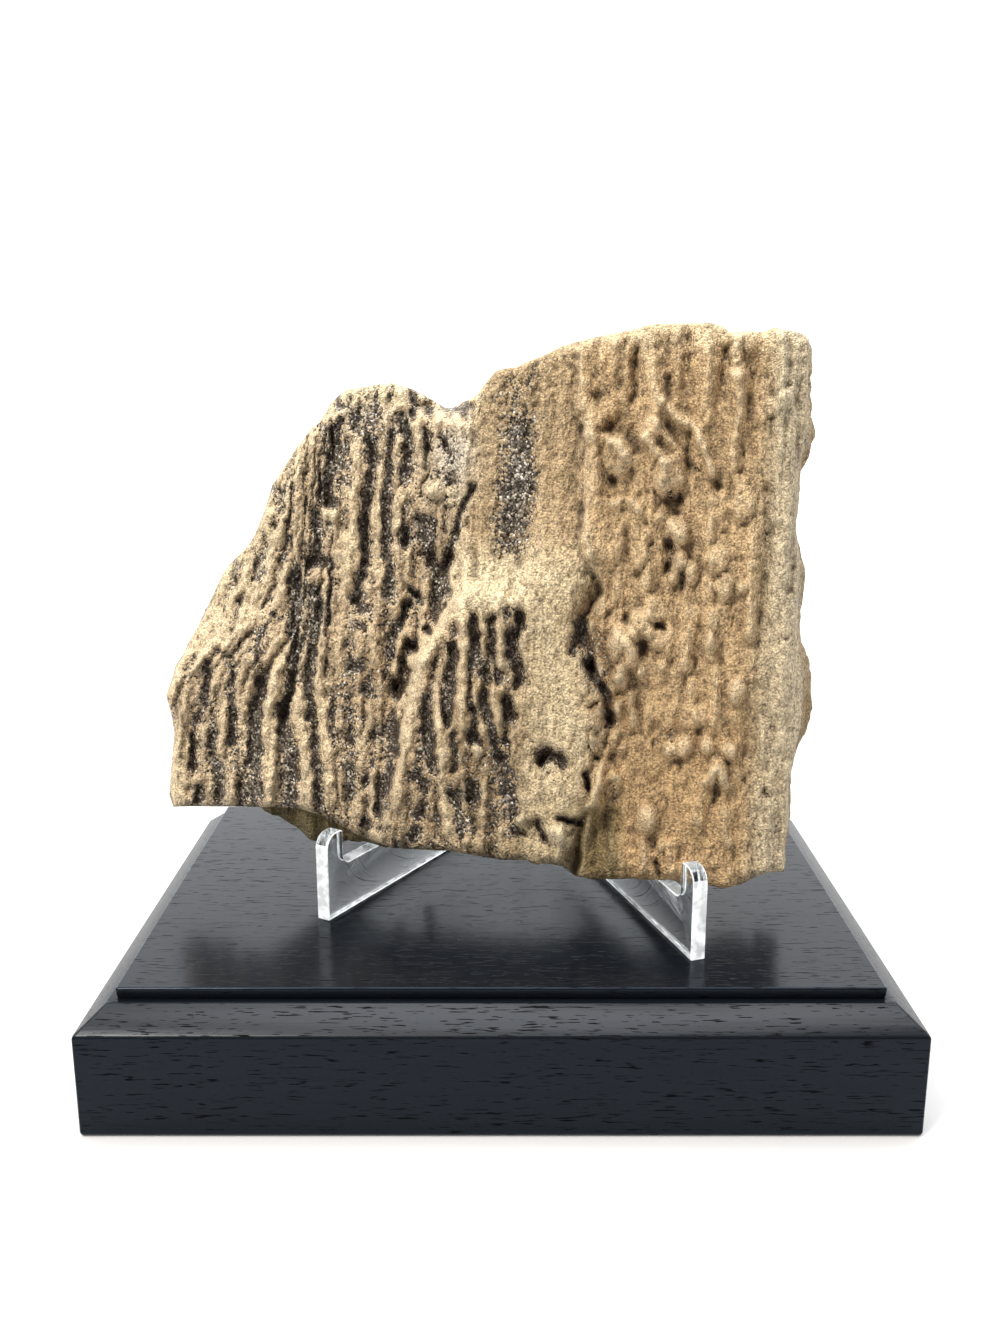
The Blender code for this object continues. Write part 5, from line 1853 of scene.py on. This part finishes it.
@dataclass
class DisplayBase:
    """Wooden base: block, chamfer, narrow shelf and raised panel."""

    length: float = 254.0
    depth: float = 177.8
    block: float = 33.3
    chamfer_run: float = 8.2
    chamfer_rise: float = 6.6
    shelf_run: float = 2.2
    panel_rise: float = 3.8
    undercut: float = 0.5
    block_round: float = 1.5
    panel_round: float = 0.9
    round_steps: int = 5
    sharp_angle: float = math.radians(60)
    chamfer_slope: Point = (0.3, 0.95)

    def raise_face(self, bm: bmesh.types.BMesh, face: bmesh.types.BMFace, run: float,
                   rise: float) -> bmesh.types.BMFace:
        """Extrude one face, moving its corners in by run and up by rise.

        Args:
            bm: The base's mesh.
            face: The face to raise.
            run: Distance that its corners move in.
            rise: Distance that they move up.

        Returns:
            The raised face.
        """
        made = bmesh.ops.extrude_discrete_faces(bm, faces=[face])["faces"][0]
        for vert in made.verts:
            vert.co.x -= math.copysign(run * MM, vert.co.x)
            vert.co.y -= math.copysign(run * MM, vert.co.y)
            vert.co.z += rise * MM
        return made

    def undercut_panel(self, bm: bmesh.types.BMesh) -> None:
        """Draw the panel's foot in a little, so that its lip throws a dark line.

        Args:
            bm: The base's mesh.
        """
        foot = (self.block + self.chamfer_rise) * MM
        inside = (self.length / 2 - self.chamfer_run - self.shelf_run / 2) * MM
        for vert in bm.verts:
            if abs(vert.co.z - foot) < self.undercut * MM and abs(vert.co.x) < inside:
                vert.co.x -= math.copysign(self.undercut * MM, vert.co.x)
                vert.co.y -= math.copysign(self.undercut * MM, vert.co.y)

    def mark_edges(self, bm: bmesh.types.BMesh) -> None:
        """Give the bevel full width on the block and less on the panel.

        Args:
            bm: The base's mesh.
        """
        weights = bm.edges.layers.float.new("bevel_weight_edge")
        panel_foot = (self.block + self.chamfer_rise) * MM
        panel_top = panel_foot + self.panel_rise * MM
        slack = 0.3 * MM
        for edge in bm.edges:
            low = min(vert.co.z for vert in edge.verts)
            high = max(vert.co.z for vert in edge.verts)
            corner = low < high and low > panel_foot - slack
            if high <= self.block * MM:
                edge[weights] = 1.0
            elif low >= panel_top - slack or corner:
                edge[weights] = self.panel_round / self.block_round
            elif abs(high - low) > slack or low < panel_foot - slack:
                edge[weights] = 0.5

    def build(self, finish: StainedWoodFinish, moulded: StainedWoodFinish
              ) -> bpy.types.Object:
        """Model the base with rounded edges.

        Args:
            finish: The wood's finish.
            moulded: The finish of the chamfer, whose cut fibres take the lacquer duller.

        Returns:
            The base's piece.
        """
        bm = bmesh.new()
        bmesh.ops.create_cube(bm, size=1.0)
        for vert in bm.verts:
            vert.co.x *= self.length * MM
            vert.co.y *= self.depth * MM
            vert.co.z = (vert.co.z + 0.5) * self.block * MM
        top = max(bm.faces, key=lambda face: face.calc_center_median().z)
        for run, rise in ((self.chamfer_run, self.chamfer_rise), (self.shelf_run, 0.0),
                          (0.0, self.panel_rise)):
            top = self.raise_face(bm, top, run, rise)
        self.mark_edges(bm)
        self.undercut_panel(bm)
        bm.normal_update()
        for face in bm.faces:
            flattest, steepest = self.chamfer_slope[1], self.chamfer_slope[0]
            face.material_index = int(steepest < face.normal.z < flattest)
        mesh = bpy.data.meshes.new("display_base")
        bm.to_mesh(mesh)
        bm.free()
        piece = new_piece("display_base", mesh, [finish.build(), moulded.build()],
                          Node.BASE)
        bevel = piece.modifiers.new("rounded edges", "BEVEL")
        bevel.limit_method = "WEIGHT"
        bevel.width = self.block_round * MM
        bevel.segments = self.round_steps
        bevel.harden_normals = True
        mesh.shade_smooth()
        mesh.set_sharp_from_angle(angle=self.sharp_angle)
        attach(piece, "root")
        return piece


# Studio


@dataclass
class Studio:
    """White sweep, soft lights and the camera at the photograph's viewing angle."""

    focal_px: float = 1215.9
    frame_height_px: float = 1333.0
    sensor: float = 36.0
    eye: tuple[float, float, float] = (-0.4, -410.8, 224.8)
    pitch: float = math.radians(13.76)
    floor_reach: float = 1500.0
    front_glow: float = 0.16
    back_glow: float = 1.9
    top_glow: float = 0.7
    aim_height: float = 130.0

    # Soft lights, each as its name, place, side, power and colour
    lights: tuple = (("key", (-520, -640, 1150), 320, 16.0, "#FFF9F0"),
                     ("top", (60, 60, 1200), 900, 14.0, "#FFFFFF"))

    def camera(self) -> None:
        """Add the camera, whose long frame side is its height."""
        data = bpy.data.cameras.new("camera")
        data.sensor_width = self.sensor
        data.sensor_fit = "AUTO"
        data.lens = self.focal_px / self.frame_height_px * self.sensor
        data.clip_start = 10 * MM
        camera = bpy.data.objects.new("camera", data)
        camera.location = [value * MM for value in self.eye]
        camera.rotation_euler = (math.pi / 2 - self.pitch, 0.0, 0.0)
        bpy.context.scene.collection.objects.link(camera)
        bpy.context.scene.camera = camera

    def floor(self, material: bpy.types.Material) -> None:
        """Add the floor, a wide plain sheet under the base.

        Args:
            material: The floor's finish.
        """
        bm = bmesh.new()
        bmesh.ops.create_grid(bm, x_segments=2, y_segments=2,
                              size=self.floor_reach / 2 * MM)
        mesh = bpy.data.meshes.new("floor")
        bm.to_mesh(mesh)
        bm.free()
        mesh.materials.append(material)
        floor = bpy.data.objects.new("floor", mesh)
        bpy.context.scene.collection.objects.link(floor)

    def area_light(self, name: str, place: tuple[float, float, float], size: float,
                   power: float, colour: str) -> None:
        """Add a square soft light that looks at the object's middle.

        Args:
            name: The light's name.
            place: Its place in millimetres.
            size: Its side in millimetres.
            power: Its power in watts.
            colour: Its sRGB colour.
        """
        data = bpy.data.lights.new(name, "AREA")
        data.size = size * MM
        data.energy = power
        data.color = linear(colour)[:3]
        light = bpy.data.objects.new(name, data)
        light.location = [value * MM for value in place]
        aim = Vector((0, 0, self.aim_height * MM)) - light.location
        light.rotation_euler = aim.to_track_quat("-Z", "Y").to_euler()
        bpy.context.scene.collection.objects.link(light)

    def world(self) -> None:
        """White walls and ceiling, with a dark room in front."""
        world = bpy.data.worlds.new("studio")
        bpy.context.scene.world = world
        world.use_nodes = True
        tree = world.node_tree
        tree.nodes.clear()
        place = add_node(tree, "ShaderNodeTexCoord").outputs["Generated"]
        axes = add_node(tree, "ShaderNodeSeparateXYZ", inputs={"Vector": place})
        back = add_node(tree, "ShaderNodeMapRange", inputs={
            "Value": axes.outputs["Y"], "From Min": -0.5, "From Max": 0.4,
            "To Min": self.front_glow, "To Max": self.back_glow})
        above = add_node(tree, "ShaderNodeMapRange", inputs={
            "Value": axes.outputs["Z"], "From Min": 0.5, "From Max": 1.0,
            "To Min": 0.0, "To Max": self.top_glow})
        glow = add_node(tree, "ShaderNodeMath", {"operation": "MAXIMUM"}, {
            0: back.outputs[0], 1: above.outputs[0]})
        seen = add_node(tree, "ShaderNodeLightPath")
        strength = add_node(tree, "ShaderNodeMath", {"operation": "MAXIMUM"}, {
            0: glow.outputs[0], 1: seen.outputs["Is Camera Ray"]})
        sky = add_node(tree, "ShaderNodeBackground", inputs={
            "Color": linear("#FFFFFF"), "Strength": strength.outputs[0]})
        add_node(tree, "ShaderNodeOutputWorld", inputs={"Surface": sky.outputs[0]})

    def build(self) -> None:
        """Set the whole studio up."""
        bpy.context.scene.view_settings.view_transform = "Standard"
        self.camera()
        self.world()
        self.floor(PaperSweepFinish().build())
        for light in self.lights:
            self.area_light(*light)


def main() -> None:
    """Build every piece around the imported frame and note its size."""
    logging.basicConfig(level=logging.INFO, format="%(message)s")
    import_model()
    moulded = StainedWoodFinish(sheen="#E4E8EE", specular=0.3, roughness=0.3,
                                grain_relief=0.7, name="black_stained_moulded_edge")
    DisplayBase().build(StainedWoodFinish(), moulded)
    easel = BentEasel()
    easel.build(CastAcrylicFinish())
    FossilSlab(easel).build(SilicifiedWoodFinish().build())
    Studio().build()
    bpy.context.view_layer.update()


if __name__ == "__main__":
    main()
